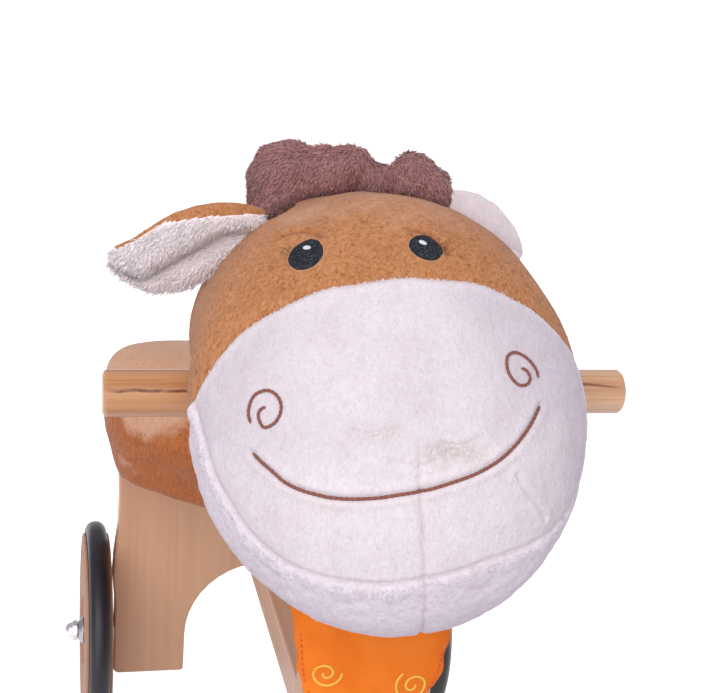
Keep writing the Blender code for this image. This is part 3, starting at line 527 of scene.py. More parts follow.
def smooth_line(points, step):
    """Catmull-Rom through points, resampled evenly."""
    P = [np.array(p, float) for p in points]
    P = [2 * P[0] - P[1]] + P + [2 * P[-1] - P[-2]]
    out = []
    for a, b, c, d in zip(P, P[1:], P[2:], P[3:]):
        for k in range(24):
            t = k / 24
            out.append(0.5 * (2 * b + (c - a) * t + (2 * a - 5 * b + 4 * c - d) * t * t + (3 * b - a - 3 * c + d) * t**3))
    out.append(P[-2])
    out = np.array(out)
    seg = np.linalg.norm(np.diff(out, axis=0), axis=1)
    s = np.concatenate([[0], np.cumsum(seg)])
    n = max(4, int(round(s[-1] / step)))
    at = np.linspace(0, s[-1], n + 1)
    return np.stack([np.interp(at, s, out[:, k]) for k in range(out.shape[1])], 1)


def tube(name, line, normals, mat, width, height, sides=8, twist=0.0, taper=0.0):
    """A yarn laid on a surface: an oval tube along a line, its flat side to the surface."""
    line, normals = np.asarray(line, float), np.asarray(normals, float)
    n = len(line)
    tan = np.gradient(line, axis=0)
    tan /= np.linalg.norm(tan, axis=1)[:, None]
    side = np.cross(tan, normals)
    side /= np.linalg.norm(side, axis=1)[:, None]
    up = np.cross(side, tan)
    s = np.concatenate([[0], np.cumsum(np.linalg.norm(np.diff(line, axis=0), axis=1))])
    verts, faces = [], []
    for i in range(n):
        end = min(s[i], s[-1] - s[i])
        k = min(1.0, 0.35 + 0.65 * math.sqrt(min(end / max(width * 0.9, 1e-6), 1.0)))
        if taper:
            k *= 1.0 - taper * (s[i] / s[-1])
        for j in range(sides):
            a = 2 * math.pi * j / sides
            r = 1.0 + (0.16 * math.cos(2 * a - 2 * math.pi * s[i] / twist) if twist else 0.0)
            verts.append(line[i] + side[i] * math.cos(a) * width * 0.5 * k * r + up[i] * math.sin(a) * height * 0.5 * k * r)
    for i in range(n - 1):
        for j in range(sides):
            k = (j + 1) % sides
            faces.append((i * sides + j, i * sides + k, (i + 1) * sides + k, (i + 1) * sides + j))
    faces.append(tuple(reversed(range(sides))))
    faces.append(tuple(range((n - 1) * sides, n * sides)))
    return to_object(name, verts, faces, mat)


def join(name, obs):
    """Several pieces of one material as one."""
    verts, faces = [], []
    for ob in obs:
        start = len(verts)
        verts += [tuple(v.co) for v in ob.data.vertices]
        faces += [tuple(start + i for i in p.vertices) for p in ob.data.polygons]
    mat = obs[0].data.materials[0]
    for ob in obs:
        bpy.data.objects.remove(ob)
    return to_object(name, verts, faces, mat)


def globe(n):
    """Directions over a ball from a cube's faces, evenly spread, with its quads."""
    bm = bmesh.new()
    bmesh.ops.create_cube(bm, size=2.0)
    bmesh.ops.subdivide_edges(bm, edges=bm.edges[:], cuts=n - 1, use_grid_fill=True)
    me = bpy.data.meshes.new("globe")
    bm.to_mesh(me)
    bm.free()
    co = np.tan(get_co(me) * math.pi / 4)
    co /= np.linalg.norm(co, axis=1)[:, None]
    return me, co


def spikes(name, P, N, D, length, width, mat, seed=1, bend=0.55):
    """Closed little tufts: a three-sided spike from each point P, out along the normal N and over along D."""
    rng = np.random.default_rng(seed)
    n = len(P)
    L = length * rng.uniform(0.7, 1.25, n)[:, None]
    jitter = rng.normal(0, 0.16, (n, 3))
    d0 = N * (1 - bend) + D * bend + jitter
    d0 /= np.linalg.norm(d0, axis=1)[:, None]
    d1 = N * max(0.0, 0.75 - bend) + D * 1.0 + jitter * 1.6 + np.array([0, 0, -0.15])
    d1 /= np.linalg.norm(d1, axis=1)[:, None]
    p0 = P - N * 0.0006
    p1 = p0 + d0 * L * 0.5
    p2 = p1 + d1 * L * 0.5
    a = np.cross(d0, N + 0.01)
    a /= np.linalg.norm(a, axis=1)[:, None]
    b = np.cross(d0, a)
    w = width * rng.uniform(0.7, 1.3, n)[:, None] * 0.5
    verts = np.empty((n, 7, 3))
    for k in range(3):
        ang = 2 * math.pi * k / 3
        o = a * math.cos(ang) + b * math.sin(ang) * 0.6
        verts[:, k] = p0 + o * w
        verts[:, 3 + k] = p1 + o * w * 0.8
    verts[:, 6] = p2
    quads = np.array([[0, 1, 4, 3], [1, 2, 5, 4], [2, 0, 3, 5]])
    tris = np.array([[3, 4, 6], [4, 5, 6], [5, 3, 6], [2, 1, 0]])
    base = (np.arange(n) * 7)[:, None, None]
    q = (base + quads).reshape(-1, 4)
    t = (base + tris).reshape(-1, 3)
    me = bpy.data.meshes.new(name)
    loops = np.concatenate([q.ravel(), t.ravel()])
    me.vertices.add(n * 7)
    me.vertices.foreach_set("co", verts.reshape(-1).astype(np.float32))
    me.loops.add(len(loops))
    me.loops.foreach_set("vertex_index", loops.astype(np.int32))
    starts = np.concatenate([np.arange(len(q)) * 4, len(q) * 4 + np.arange(len(t)) * 3])
    me.polygons.add(len(q) + len(t))
    me.polygons.foreach_set("loop_start", starts.astype(np.int32))
    me.update(calc_edges=True)
    me.validate(clean_customdata=False)
    me.shade_smooth()
    own = np.repeat(rng.uniform(0, 1, n), 7)
    along = np.tile(np.array([0, 0, 0, 0.55, 0.55, 0.55, 1.0]), n)
    put_attribute(me, "own", own)
    put_attribute(me, "along", along)
    me.materials.append(mat)
    ob = bpy.data.objects.new(name, me)
    scene.collection.objects.link(ob)
    return ob


def many_spikes(name, P, N, D, length, width, mat, seed=1, bend=0.55, most=19000):
    """Tufts in several pieces, none of them too large."""
    parts = max(1, math.ceil(len(P) / most))
    return [spikes(f"{name}_{i + 1}", P[i::parts], N[i::parts], D[i::parts], length, width, mat, seed + 100 * i, bend) for i in range(parts)]


def scatter(ob, spacing, seed=2, keep=None):
    """Even random points over a mesh, one to about each spacing squared, with their normals."""
    me = ob.data
    me.calc_loop_triangles()
    tri = np.empty(len(me.loop_triangles) * 3, np.int32)
    me.loop_triangles.foreach_get("vertices", tri)
    tri = tri.reshape(-1, 3)
    co, nr = get_co(me), get_normals(me)
    a, b, c = co[tri[:, 0]], co[tri[:, 1]], co[tri[:, 2]]
    area = 0.5 * np.linalg.norm(np.cross(b - a, c - a), axis=1)
    rng = np.random.default_rng(seed)
    count = int(area.sum() / spacing**2)
    pick = rng.choice(len(tri), count, p=area / area.sum())
    u, v = rng.uniform(0, 1, (2, count))
    flip = u + v > 1
    u[flip], v[flip] = 1 - u[flip], 1 - v[flip]
    w = 1 - u - v
    P = a[pick] * w[:, None] + b[pick] * u[:, None] + c[pick] * v[:, None]
    t = tri[pick]
    N = nr[t[:, 0]] * w[:, None] + nr[t[:, 1]] * u[:, None] + nr[t[:, 2]] * v[:, None]
    N /= np.linalg.norm(N, axis=1)[:, None]
    if keep is not None:
        k = keep(P, N)
        P, N = P[k], N[k]
    return P, N


def along_surface(N, D):
    """D laid into the surface whose normals are N."""
    D = D - N * (D * N).sum(1)[:, None]
    return D / np.maximum(np.linalg.norm(D, axis=1), 1e-9)[:, None]


# ------------------------------------------------------------------ the head's shape, the same lobes as its solid
HEAD_C = np.array([0.0, Y_BAR - 0.055, 0.418])
HEAD_SHIFT = np.array([-0.0085, 0.0, 0.0])
LOBES = (
    ((-0.0860, 0.4290), (0.0993, 0.0600, 0.1080), 28.0),
    ((-0.0110, 0.4536), (0.0913, 0.0820, 0.0700), 20.0),
    ((0.0040, 0.4200), (0.0753, 0.0600, 0.0820), 0.0),
    ((-0.0340, 0.3860), (0.0640, 0.0560, 0.0520), 0.0),
)
HEAD_TURN = np.array(Matrix.Rotation(math.radians(-2.7), 3, "Z") @ Matrix.Rotation(math.radians(-10.4), 3, "Y"))


def head_field(Q):
    """Q is from the handlebar in Y."""
    total = 0.0
    for (cy, cz), (rx, ry, rz), pitch in LOBES:
        a = math.radians(pitch)
        x, y, z = Q[:, 0], Q[:, 1] - cy, Q[:, 2] - cz
        y, z = y * math.cos(a) - z * math.sin(a), y * math.sin(a) + z * math.cos(a)
        total = total + np.exp(-9.0 * (np.sqrt((x / rx) ** 2 + (y / ry) ** 2 + (z / rz) ** 2) - 1.0))
    return 1.0 - np.log(total) / 9.0


def head_reach(D):
    c = np.array([0.0, -0.055, 0.418])
    low, high = np.full(len(D), 0.02), np.full(len(D), 0.22)
    for _ in range(22):
        mid = 0.5 * (low + high)
        inside = head_field(c + D * mid[:, None]) < 1.0
        low, high = np.where(inside, mid, low), np.where(inside, high, mid)
    return 0.5 * (low + high)


def heading(pairs):
    """Unit directions from (turn, rise) in degrees: turn 0 is straight ahead, positive to the horse's left."""
    a = np.radians(np.asarray(pairs, float))
    return np.stack([np.sin(a[:, 0]) * np.cos(a[:, 1]), -np.cos(a[:, 0]) * np.cos(a[:, 1]), np.sin(a[:, 1])], 1)


def on_head(pairs, step=0.0005):
    """A smooth line on the bare head through (turn, rise) pairs, in the head's own frame."""
    D = smooth_line(heading(pairs), 0.004)
    D /= np.linalg.norm(D, axis=1)[:, None]
    return smooth_line(D * head_reach(D)[:, None], step)


def head_world(Q):
    return HEAD_C + HEAD_SHIFT + Q @ HEAD_TURN.T


# where the seams and the face lie, as (turn, rise)
MOUTH = [(-45.0, 11.8), (-42.6, 10.0), (-39.0, 7.8), (-35.8, 5.6), (-32.3, 4.0), (-28.5, 2.7), (-23.3, 1.3), (-17.5, 0.5), (-10.1, 0.2), (-4.8, 0.3), (0.0, 0.3), (4.6, 0.6), (9.5, 1.1), (16.6, 1.9), (23.3, 3.4), (28.7, 5.4), (34.0, 7.9), (37.9, 10.2), (41.9, 12.7)]
CHIN_SEAM = [(-70, 21), (-66.4, 16.9), (-63.9, 13.6), (-60.8, 10.1), (-57.9, 6.0), (-55.1, 2.5), (-51.6, -1.5), (-47.8, -6.1), (-44.2, -10.0), (-40.0, -13.2), (-34.9, -16.5), (-29.7, -18.4), (-23.9, -20.0), (-17.5, -21.1), (-11.1, -21.9), (-5.2, -21.9), (-0.7, -21.9), (4.7, -21.8), (10.2, -21.4), (17.4, -20.7), (23.5, -20.6), (30.0, -20.4), (38.0, -19.5), (47.0, -16.5), (55.0, -9.0), (62.0, 2.0), (68.0, 14.0), (71.0, 21.0)]
MID_SEAM = [(2.4, 14.0), (1.7, 8.6), (0.9, 3.3), (0.4, -1.9), (0.2, -7.1), (-0.2, -12.2), (-0.5, -17.3), (-1.0, -22.5), (-1.1, -28.3), (-1.6, -35.3), (-2, -44), (-2, -55)]
CREASES = [[(28.1, -1.7), (29.9, -6.3), (32.2, -10.2), (34.9, -15.2)], [(-6, 9), (-3, 8), (1, 6.5), (6, 7.5)], [(9, 12), (14, 10), (20, 10.5)]]
BROWS = [[(-84.0, 67.6), (-81.0, 71.2), (-69.3, 74.5), (-48.6, 75.1)], [(43.2, 72.7), (49.0, 69.3), (48.5, 64.1), (46.7, 61.3)]]
SEAM_N, SEAM_D = np.array([-0.0196, -0.958, -0.286]), 0.02061
SEAM_SWAY = ([-74, -66, -60, -45, -25, 0, 30, 50, 60, 66, 74], [0.0036, 0.0012, -0.0006, -0.0018, -0.0020, -0.0013, -0.0011, -0.0006, 0.0000, 0.0026, 0.0036])
SMUDGES = [([(-16.0, 18.6), (-10.8, 16.8), (-4.1, 17.8)], 0.0042, 0.55), ([(5.8, 10.0), (11.6, 9.4), (17.8, 6.5)], 0.0048, 0.9), ([(20.3, 12.3), (20.9, 11.8)], 0.0012, 1.0), ([(2.0, 30.0), (4.0, 40.0)], 0.010, 0.25)]


def make_head():
    me, D = globe(168)
    Q = D * head_reach(D)[:, None]
    set_co(me, Q)
    N = get_normals(me)
    turn = np.degrees(np.arctan2(D[:, 0], -D[:, 1]))
    rise = np.degrees(np.arcsin(D[:, 2]))
    # signed distances to the seams
    s_top = Q @ SEAM_N - SEAM_D - np.interp(turn, *SEAM_SWAY) + 0.0004 * np.sin(Q[:, 0] / 0.006)
    table = np.array(CHIN_SEAM)
    seam_rise = np.interp(turn, table[:, 0], table[:, 1], left=21, right=21)
    d_chin, _ = nearest(Q, on_head(CHIN_SEAM, 0.001))
    below = (rise < seam_rise) & (s_top > -0.004)
    s_chin = np.where(below, -d_chin, d_chin)
    under = 1.0 / (1.0 + np.exp(np.clip(s_chin / 0.0005, -40, 40)))
    d_mid, _ = nearest(Q, on_head(MID_SEAM, 0.001))
    d_mouth, _ = nearest(Q, on_head(MOUTH, 0.0006))
    white = 1.0 / (1.0 + np.exp(-np.clip(s_top / 0.0010, -40, 40)))
    face = 1.0 / (1.0 + np.exp(-np.clip((s_top - 0.002) / 0.0015, -40, 40)))
    # how clear the chin seam is: plain on the right cheek, faint on the left one
    clear = 1.0 - 0.75 / (1.0 + np.exp(-(turn - 32.0) / 6.0))
    out = np.zeros(len(Q))
    # the stuffing fills each panel between its seams
    out += 0.0008 * (1 - np.exp(-np.abs(s_top) / 0.006)) - 0.0009 * np.exp(-((s_top / 0.0013) ** 2))
    out += 0.0007 * np.exp(-(((s_top - 0.0026) / 0.0022) ** 2)) * white
    out += -0.0013 * np.exp(-((s_chin / 0.0014) ** 2)) * face * clear
    out += 0.0009 * np.exp(-(((s_chin + 0.0055) / 0.0048) ** 2)) * face * clear * under
    fade = np.clip((14.0 - rise) / 10.0, 0.0, 1.0)
    out += -0.0010 * np.exp(-((d_mid / 0.0012) ** 2)) * face * (0.35 + 0.65 * fade)
    out += 0.0006 * (1 - np.exp(-d_mid / 0.006)) * face * fade
    out += -0.0012 * np.exp(-((d_mouth / 0.0015) ** 2)) + 0.0006 * np.exp(-(((d_mouth - 0.0032) / 0.0020) ** 2))
    for crease in CREASES:
        d, _ = nearest(Q, on_head(crease, 0.001))
        out += -0.0008 * np.exp(-((d / 0.0012) ** 2)) + 0.0004 * np.exp(-(((d - 0.003) / 0.002) ** 2))
    d_brow = np.full(len(Q), 1.0)
    for brow in BROWS:
        d, _ = nearest(Q, on_head(brow, 0.001))
        d_brow = np.minimum(d_brow, d)
    out += -0.0016 * np.exp(-((d_brow / 0.0016) ** 2)) + 0.0010 * np.exp(-(((d_brow - 0.0038) / 0.0022) ** 2))
    # the crown is fuller on the right, and a tuft stands out where the three panels meet
    W = head_world(Q)
    out += 0.0036 * np.exp(-(np.linalg.norm(W - np.array([-0.066, Y_BAR + 0.005, 0.511]), axis=1) / 0.028) ** 2)
    corner = on_head([(-70.5, 19.0), (-70.0, 16.5)], 0.001).mean(0)
    out += 0.0020 * np.exp(-((np.linalg.norm(Q - corner, axis=1) / 0.0042) ** 2))
    # soft dents of the stuffing
    out += 0.0013 * noise_at(Q, 0.055, 3.1) + 0.0005 * noise_at(Q, 0.020, 5.2)
    out += 0.00022 * noise_at(Q, 0.0060, 9.4) * (1.0 + 1.4 * under) * white
    ridge = face * clear * under * np.exp(-(((s_chin + 0.0034) / 0.0030) ** 2))
    out += 0.0007 * ridge * noise_at(Q * np.array([1, 1, 0.4]), 0.0042, 4.4)
    # the pile
    rough = noise_at(Q * np.array([1, 1, 0.7]), 0.0021, 1.3)
    out += 0.00016 * rough * (1.0 - 0.55 * white)
    rng = np.random.default_rng(11)
    out += rng.uniform(-1, 1, len(Q)) * 0.00006
    Q = Q + N * out[:, None]
    set_co(me, head_world(Q))
    shade = 0.50 * np.exp(-((s_chin / 0.0011) ** 2)) * face * clear + 0.60 * np.exp(-((d_mid / 0.0008) ** 2)) * face * (0.3 + 0.7 * fade)
    shade += 0.25 * np.exp(-((d_mouth / 0.0020) ** 2)) + 0.45 * np.exp(-((s_top / 0.0008) ** 2)) + 1.0 * np.exp(-((d_brow / 0.0018) ** 2))
    smudge = np.zeros(len(Q))
    for pairs, width, much in SMUDGES:
        d, _ = nearest(Q, on_head(pairs, 0.0008))
        smudge = np.maximum(smudge, much * np.exp(-((d / width) ** 2)))
    # the pile is paler over the crown, down the middle of the brow and on the left temple: partly real flattened pile
    # and partly painted sheen, which runs as a band along the crown's top
    light = 0.50 * np.exp(-(((W[:, 2] - 0.531) / 0.011) ** 2)) * (W[:, 1] < Y_BAR + 0.03)
    for place, width, much in (((-0.052, -0.040, 0.520), 0.020, 0.75), ((0.010, -0.058, 0.523), 0.016, 0.40), ((0.052, -0.030, 0.508), 0.022, 0.9), ((-0.088, -0.050, 0.450), 0.012, 0.20)):
        light = np.maximum(light, much * np.exp(-((np.linalg.norm(W - np.array([place[0], Y_BAR + place[1], place[2]]), axis=1) / width) ** 2)))
    # painted shade on the white muzzle: darker and cooler towards its upper part and both sides, most on the horse's
    # left
    tone = 0.36 * np.clip((rise - 3.0) / 10.0, 0.0, 1.0) + 0.50 * np.clip((-turn - 26.0) / 26.0, 0.0, 1.0) + 0.84 * np.clip((turn - 22.0) / 26.0, 0.0, 1.0)
    put_attribute(me, "tone", np.clip(tone, 0, 1) * face)
    put_attribute(me, "zone", white)
    put_attribute(me, "under", under * face)
    put_attribute(me, "shade", np.clip(shade, 0, 1))
    put_attribute(me, "smudge", smudge)
    put_attribute(me, "light", light)
    me.materials.append(M["head"])
    me.shade_smooth()
    me.name = "plush_head"
    ob = bpy.data.objects.new("plush_head", me)
    scene.collection.objects.link(ob)
    # a table to stand pieces on the finished surface
    tree = kdtree.KDTree(len(D))
    for i, d in enumerate(D):
        tree.insert(d, i)
    tree.balance()
    reach = (Q * D).sum(1)
    return ob, tree, reach, N


head, head_tree, head_done, head_normals = make_head()


def stand(D):
    """Points and outward normals on the finished head for unit directions, in world metres."""
    P, N = [], []
    for d in D:
        near = head_tree.find_n(Vector(d), 6)
        w = np.array([1.0 / (x[2] + 1e-4) for x in near])
        w /= w.sum()
        idx = [x[1] for x in near]
        P.append(d * float((head_done[idx] * w).sum()))
        n = (head_normals[idx] * w[:, None]).sum(0)
        N.append(n / np.linalg.norm(n))
    return head_world(np.array(P)), np.array(N) @ HEAD_TURN.T


def laid_line(pairs, step=0.0008, lift=0.0003):
    Q = on_head(pairs, step)
    D = Q / np.linalg.norm(Q, axis=1)[:, None]
    P, N = stand(D)
    k = np.array([0.25, 0.5, 0.25])
    for _ in range(3):
        P[1:-1] = P[:-2] * k[0] + P[1:-1] * k[1] + P[2:] * k[2]
    return P + N * lift, N


def local_patch(centre, x_deg, y_deg):
    """Directions round a centre (turn, rise) from offsets in degrees across and up the surface."""
    c = heading([centre])[0]
    across = np.cross(c, [0, 0, 1.0])
    across /= np.linalg.norm(across)
    across = -across
    up = np.cross(across, c)
    if up[2] < 0:
        up = -up
    d = c + across * np.tan(np.radians(x_deg))[:, None] + up * np.tan(np.radians(y_deg))[:, None]
    return d / np.linalg.norm(d, axis=1)[:, None]


P, N = laid_line(MOUTH, 0.0007, 0.0004)
mouth = tube("mouth_thread", P, N, M["thread"], 0.0017, 0.0013, 8, twist=0.0026)

NOSTRILS = {
    "right": [(-46.5, 19.4), (-47.7, 21.6), (-47.8, 24.2), (-46.6, 27.0), (-43.4, 28.6), (-40.3, 28.1), (-38.2, 26.2), (-37.6, 23.8), (-38.3, 21.4), (-40.0, 19.7), (-42.2, 18.8), (-43.7, 20.2), (-44.5, 22.0), (-43.8, 23.6), (-42.5, 24.2)],
    "left": [(45.5, 19.5), (46.2, 21.4), (45.9, 24.0), (44.8, 26.4), (42.4, 28.6), (39.3, 28.8), (37.3, 27.0), (36.4, 24.4), (36.8, 21.9), (38.1, 20.1), (40.4, 19.5), (42.4, 20.3), (42.9, 22.2), (42.4, 23.4), (41.3, 24.0)],
}
threads = []
for label, pairs in NOSTRILS.items():
    P, N = laid_line(pairs, 0.0006, 0.0004)
    threads.append(tube("nostril_" + label, P, N, M["thread"], 0.0016, 0.0012, 8, twist=0.0022))


# ------------------------------------------------------------------ eyes
EYES = {
    # centre (turn, rise), half width and half height in mm, lean of the long axis in degrees
    "right": ((-50.3, 67.9), 8.9, 9.8, 14.0, (0.2, 3.4)),
    "left": ((37.8, 66.0), 8.6, 6.9, -32.0, (-2.3, 1.2)),
}
HEAD_UP = HEAD_TURN @ np.array([0, 0, 1.0])


def disc_on_head(name, centre, a, b, lean, mat, dome, rings=9, sides=84, inner=0.0, lift=0.0004):
    """An oval patch (or band, if inner > 0) that follows the head at centre. a and b are half axes in metres."""
    c = heading([centre])[0]
    P0, N0 = stand([c])
    P0, N0 = P0[0], N0[0]
    view = np.array([0.0, -1.0, 0.0])
    x = np.cross([0, 0, 1.0], N0)
    x /= np.linalg.norm(x)
    if x[0] < 0:
        x = -x
    y = np.cross(N0, x)
    if y[2] < 0:
        y = -y
    l = math.radians(lean)
    x, y = x * math.cos(l) + y * math.sin(l), -x * math.sin(l) + y * math.cos(l)
    rows = []
    for i in range(rings + 1):
        f = inner + (1 - inner) * i / rings
        row = []
        for j in range(sides):
            t = 2 * math.pi * j / sides
            w = f * (1.0 + f**3 * (0.006 * math.sin(7 * t + 1.3) + 0.008 * math.sin(13 * t) + 0.010 * math.sin(21 * t + 0.4)))
            row.append(P0 + x * a * w * math.cos(t) + y * b * w * math.sin(t))
        rows.append((f, row))
    top, low = [], []
    inv = HEAD_TURN.T
    for f, row in rows:
        Q = (np.array(row) - HEAD_C - HEAD_SHIFT) @ inv.T
        D = Q / np.linalg.norm(Q, axis=1)[:, None]
        S, n = stand(D)
        g = (f - inner) / (1 - inner) if inner else f
        h = dome * (math.sqrt(max(0.0, 1 - g**2.4)) if not inner else math.sin(math.pi * min(max(g, 0), 1)) ** 0.7)
        top.append(S + N0 * (lift + h))
        low.append(S - N0 * 0.0008)
    verts, faces = [], []
    start = [0]
    for row in top + low[::-1]:
        verts += list(row)
    total = 2 * (rings + 1)
    for i in range(total - 1):
        for j in range(sides):
            k = (j + 1) % sides
            faces.append((i * sides + j, i * sides + k, (i + 1) * sides + k, (i + 1) * sides + j))
    if inner:
        i = total - 1
        for j in range(sides):
            k = (j + 1) % sides
            faces.append((i * sides + j, i * sides + k, k, j))
    else:
        pass
    ob = to_object(name, verts, faces, mat)
    bm = bmesh.new()
    bm.from_mesh(ob.data)
    bmesh.ops.remove_doubles(bm, verts=bm.verts, dist=1e-6)
    bmesh.ops.recalc_face_normals(bm, faces=bm.faces)
    bm.to_mesh(ob.data)
    bm.free()
    ob.data.shade_smooth()
    return ob, P0, N0, x, y


face_parts = []
for label, (centre, a, b, lean, shift) in EYES.items():
    a, b = a / 1000, b / 1000
    eye, P0, N0, x, y = disc_on_head("eye_" + label, centre, a, b, lean, M["eye"], 0.0012)
    rim, *_ = disc_on_head("eye_rim_" + label, centre, a + 0.00035, b + 0.00035, lean, M["rim"], 0.0003, rings=4, inner=0.95, lift=0.0001)
    # the glint is a little patch of white stitches on the eye
    gx, gy = shift[0] / 1000, shift[1] / 1000
    ring_rows = []
    verts, faces = [], []
    sides, rings = 28, 5
    for i in range(rings + 1):
        f = i / rings
        for j in range(sides):
            t = 2 * math.pi * j / sides
            p = P0 + x * (gx + 0.0021 * f * math.cos(t)) + y * (gy + 0.0012 * f * math.sin(t))
            verts.append(p + N0 * (0.0017 + 0.0005 * math.sqrt(1 - f * f)))
    for i in range(rings):
        for j in range(sides):
            k = (j + 1) % sides
            faces.append((i * sides + j, i * sides + k, (i + 1) * sides + k, (i + 1) * sides + j))
    low = len(verts)
    for j in range(sides):
        verts.append(np.array(verts[rings * sides + j]) - N0 * 0.0008)
    for j in range(sides):
        k = (j + 1) % sides
        faces.append((rings * sides + j, rings * sides + k, low + k, low + j))
    faces.append(tuple(low + j for j in reversed(range(sides))))
    glint = to_object("eye_glint_" + label, verts, faces, M["glint"])
    bm = bmesh.new()
    bm.from_mesh(glint.data)
    bmesh.ops.remove_doubles(bm, verts=bm.verts, dist=1e-6)
    bmesh.ops.recalc_face_normals(bm, faces=bm.faces)
    bm.to_mesh(glint.data)
    bm.free()
    # three fine lashes at the outer upper corner
    sign = -1.0 if label == "right" else 1.0
    lashes = []
    for at, out, rise_by in ((0.06, 0.0040, 0.0002), (0.22, 0.0052, 0.0018), (0.36, 0.0044, 0.0026)) if label == "right" else ((0.34, 0.0030, 0.0016), (0.50, 0.0034, 0.0030), (0.66, 0.0026, 0.0034)):
        t = math.pi * (1 - at * 0.5 + 0.06) if sign < 0 else math.pi * (at * 0.5 - 0.06)
        root = P0 + x * a * math.cos(t) + y * b * math.sin(t)
        tip = root + x * sign * out + y * rise_by + N0 * 0.0014
        mid = (root + tip) / 2 + y * 0.0005 + N0 * 0.0010
        line = smooth_line([root + N0 * 0.0006, mid, tip], 0.0005)
        lashes.append(tube("lash", line, np.tile(N0, (len(line), 1)), M["lash"], 0.00042, 0.00036, 5, taper=0.75))
    face_parts += [eye, rim, glint, join("lashes_" + label, lashes)]


# ------------------------------------------------------------------ soft lumps
def blob(name, balls, voxel, mat, relax=10):
    """One closed soft body from ellipsoids (centre, radii, turn in degrees), melted together."""
    bm = bmesh.new()
    for centre, radii, turn in balls:
        m = Matrix.Translation(Vector(centre)) @ Matrix.Rotation(math.radians(turn[2]), 4, "Z") @ Matrix.Rotation(math.radians(turn[1]), 4, "Y") @ Matrix.Rotation(math.radians(turn[0]), 4, "X") @ Matrix.Diagonal((*radii, 1.0))
        bmesh.ops.create_icosphere(bm, subdivisions=4, radius=1.0, matrix=m)
    me = bpy.data.meshes.new(name)
    bm.to_mesh(me)
    bm.free()
    ob = bpy.data.objects.new(name, me)
    scene.collection.objects.link(ob)
    r = ob.modifiers.new("melt", "REMESH")
    r.mode = "VOXEL"
    r.voxel_size = voxel
    s = ob.modifiers.new("relax", "SMOOTH")
    s.factor = 0.5
    s.iterations = relax
    bake(ob)
    ob.data.materials.clear()
    ob.data.materials.append(mat)
    ob.data.shade_smooth()
    return ob


def bake(ob):
    """Applies an object's modifiers."""
    bpy.context.view_layer.update()
    deps = bpy.context.evaluated_depsgraph_get()
    me = bpy.data.meshes.new_from_object(ob.evaluated_get(deps))
    old = ob.data
    ob.modifiers.clear()
    ob.data = me
    me.name = ob.name
    if old.users == 0:
        bpy.data.meshes.remove(old)


def refine(ob, levels=1):
    m = ob.modifiers.new("fine", "SUBSURF")
    m.levels = m.render_levels = levels
    bake(ob)


def ruffle(ob, parts, seed=0.0):
    """Moves the surface along its normals by noise, each part (amount, size, stretch)."""
    me = ob.data
    co, n = get_co(me), get_normals(me)
    out = np.zeros(len(co))
    for i, (amount, size, stretch) in enumerate(parts):
        out += amount * noise_at(co * np.array(stretch), size, seed + 2.7 * i)
    set_co(me, co + n * out[:, None])
    me.shade_smooth()


# ------------------------------------------------------------------ mane
def at(x, y, z):
    return (x, Y_BAR + y, z)


mane_balls = [
    (at(-0.0554, 0.0132, 0.5256), (0.0185, 0.0210, 0.0185), (0, 0, 0)),
    (at(-0.0664, 0.0140, 0.5160), (0.0070, 0.0160, 0.0130), (0, 6, 0)),
    (at(-0.0600, -0.0070, 0.5120), (0.0098, 0.0170, 0.0100), (0, 18, 0)),
    (at(-0.0480, 0.0330, 0.5330), (0.0190, 0.0190, 0.0120), (0, 0, 0)),
    (at(-0.0320, 0.0142, 0.5306), (0.0200, 0.0210, 0.0150), (0, 0, 0)),
    (at(-0.0190, 0.0122, 0.5350), (0.0130, 0.0190, 0.0125), (0, 10, 0)),
    (at(-0.0030, 0.0022, 0.5290), (0.0150, 0.0200, 0.0100), (0, 16, 0)),
    (at(0.0085, -0.0185, 0.5350), (0.0130, 0.0170, 0.0160), (0, 0, 0)),
    (at(0.0160, -0.0230, 0.5300), (0.0100, 0.0160, 0.0150), (0, 12, 0)),
    (at(0.0195, -0.0130, 0.5190), (0.0085, 0.0180, 0.0160), (0, 14, 0)),
    (at(-0.0240, 0.0380, 0.5160), (0.0420, 0.0200, 0.0200), (-30, 0, 0)),
    (at(-0.0170, 0.0480, 0.4960), (0.0380, 0.0180, 0.0260), (-20, 0, 0)),
    (at(-0.0100, 0.0590, 0.4660), (0.0320, 0.0170, 0.0280), (-10, 0, 0)),
    (at(-0.0040, 0.0620, 0.4320), (0.0280, 0.0160, 0.0280), (0, 0, 0)),
    (at(-0.0010, 0.0570, 0.4010), (0.0210, 0.0130, 0.0220), (10, 0, 0)),
    (at(-0.0205, 0.0435, 0.5065), (0.0400, 0.0190, 0.0230), (-25, 0, 0)),
    (at(-0.0135, 0.0545, 0.4815), (0.0350, 0.0175, 0.0260), (-15, 0, 0)),
    (at(-0.0070, 0.0615, 0.4490), (0.0305, 0.0165, 0.0260), (-5, 0, 0)),
    (at(-0.0025, 0.0605, 0.4165), (0.0250, 0.0148, 0.0240), (5, 0, 0)),
]
mane = blob("mane_base", mane_balls, 0.0018, M["mane"], 5)
ruffle(mane, [(0.0016, 0.014, (1, 1, 0.7)), (0.0007, 0.0045, (1, 1, 0.45)), (0.0003, 0.0022, (1, 1, 0.4))], 1.0)


def mane_flow(P):
    """Which way the mane's hair lies: down over the brow, to the right on the right side, round and down the neck."""
    D = np.zeros_like(P)
    D[:, 0] = np.clip((P[:, 0] + 0.012) * 22.0, -0.75, 0.9)
    D[:, 1] = np.clip((P[:, 1] - Y_BAR - 0.012) * 30.0, -0.8, 0.6)
    D[:, 2] = -0.85
    D += 0.45 * np.stack([noise_at(P, 0.012, 7.0), noise_at(P, 0.012, 8.0), noise_at(P, 0.012, 9.0)], 1)
    return D


def clear_of_head(P, N, gap=0.0005):
    Q = (P - HEAD_C - HEAD_SHIFT) @ HEAD_TURN + np.array([0.0, -0.055, 0.418])
    return head_field(Q) > 1.0 + gap


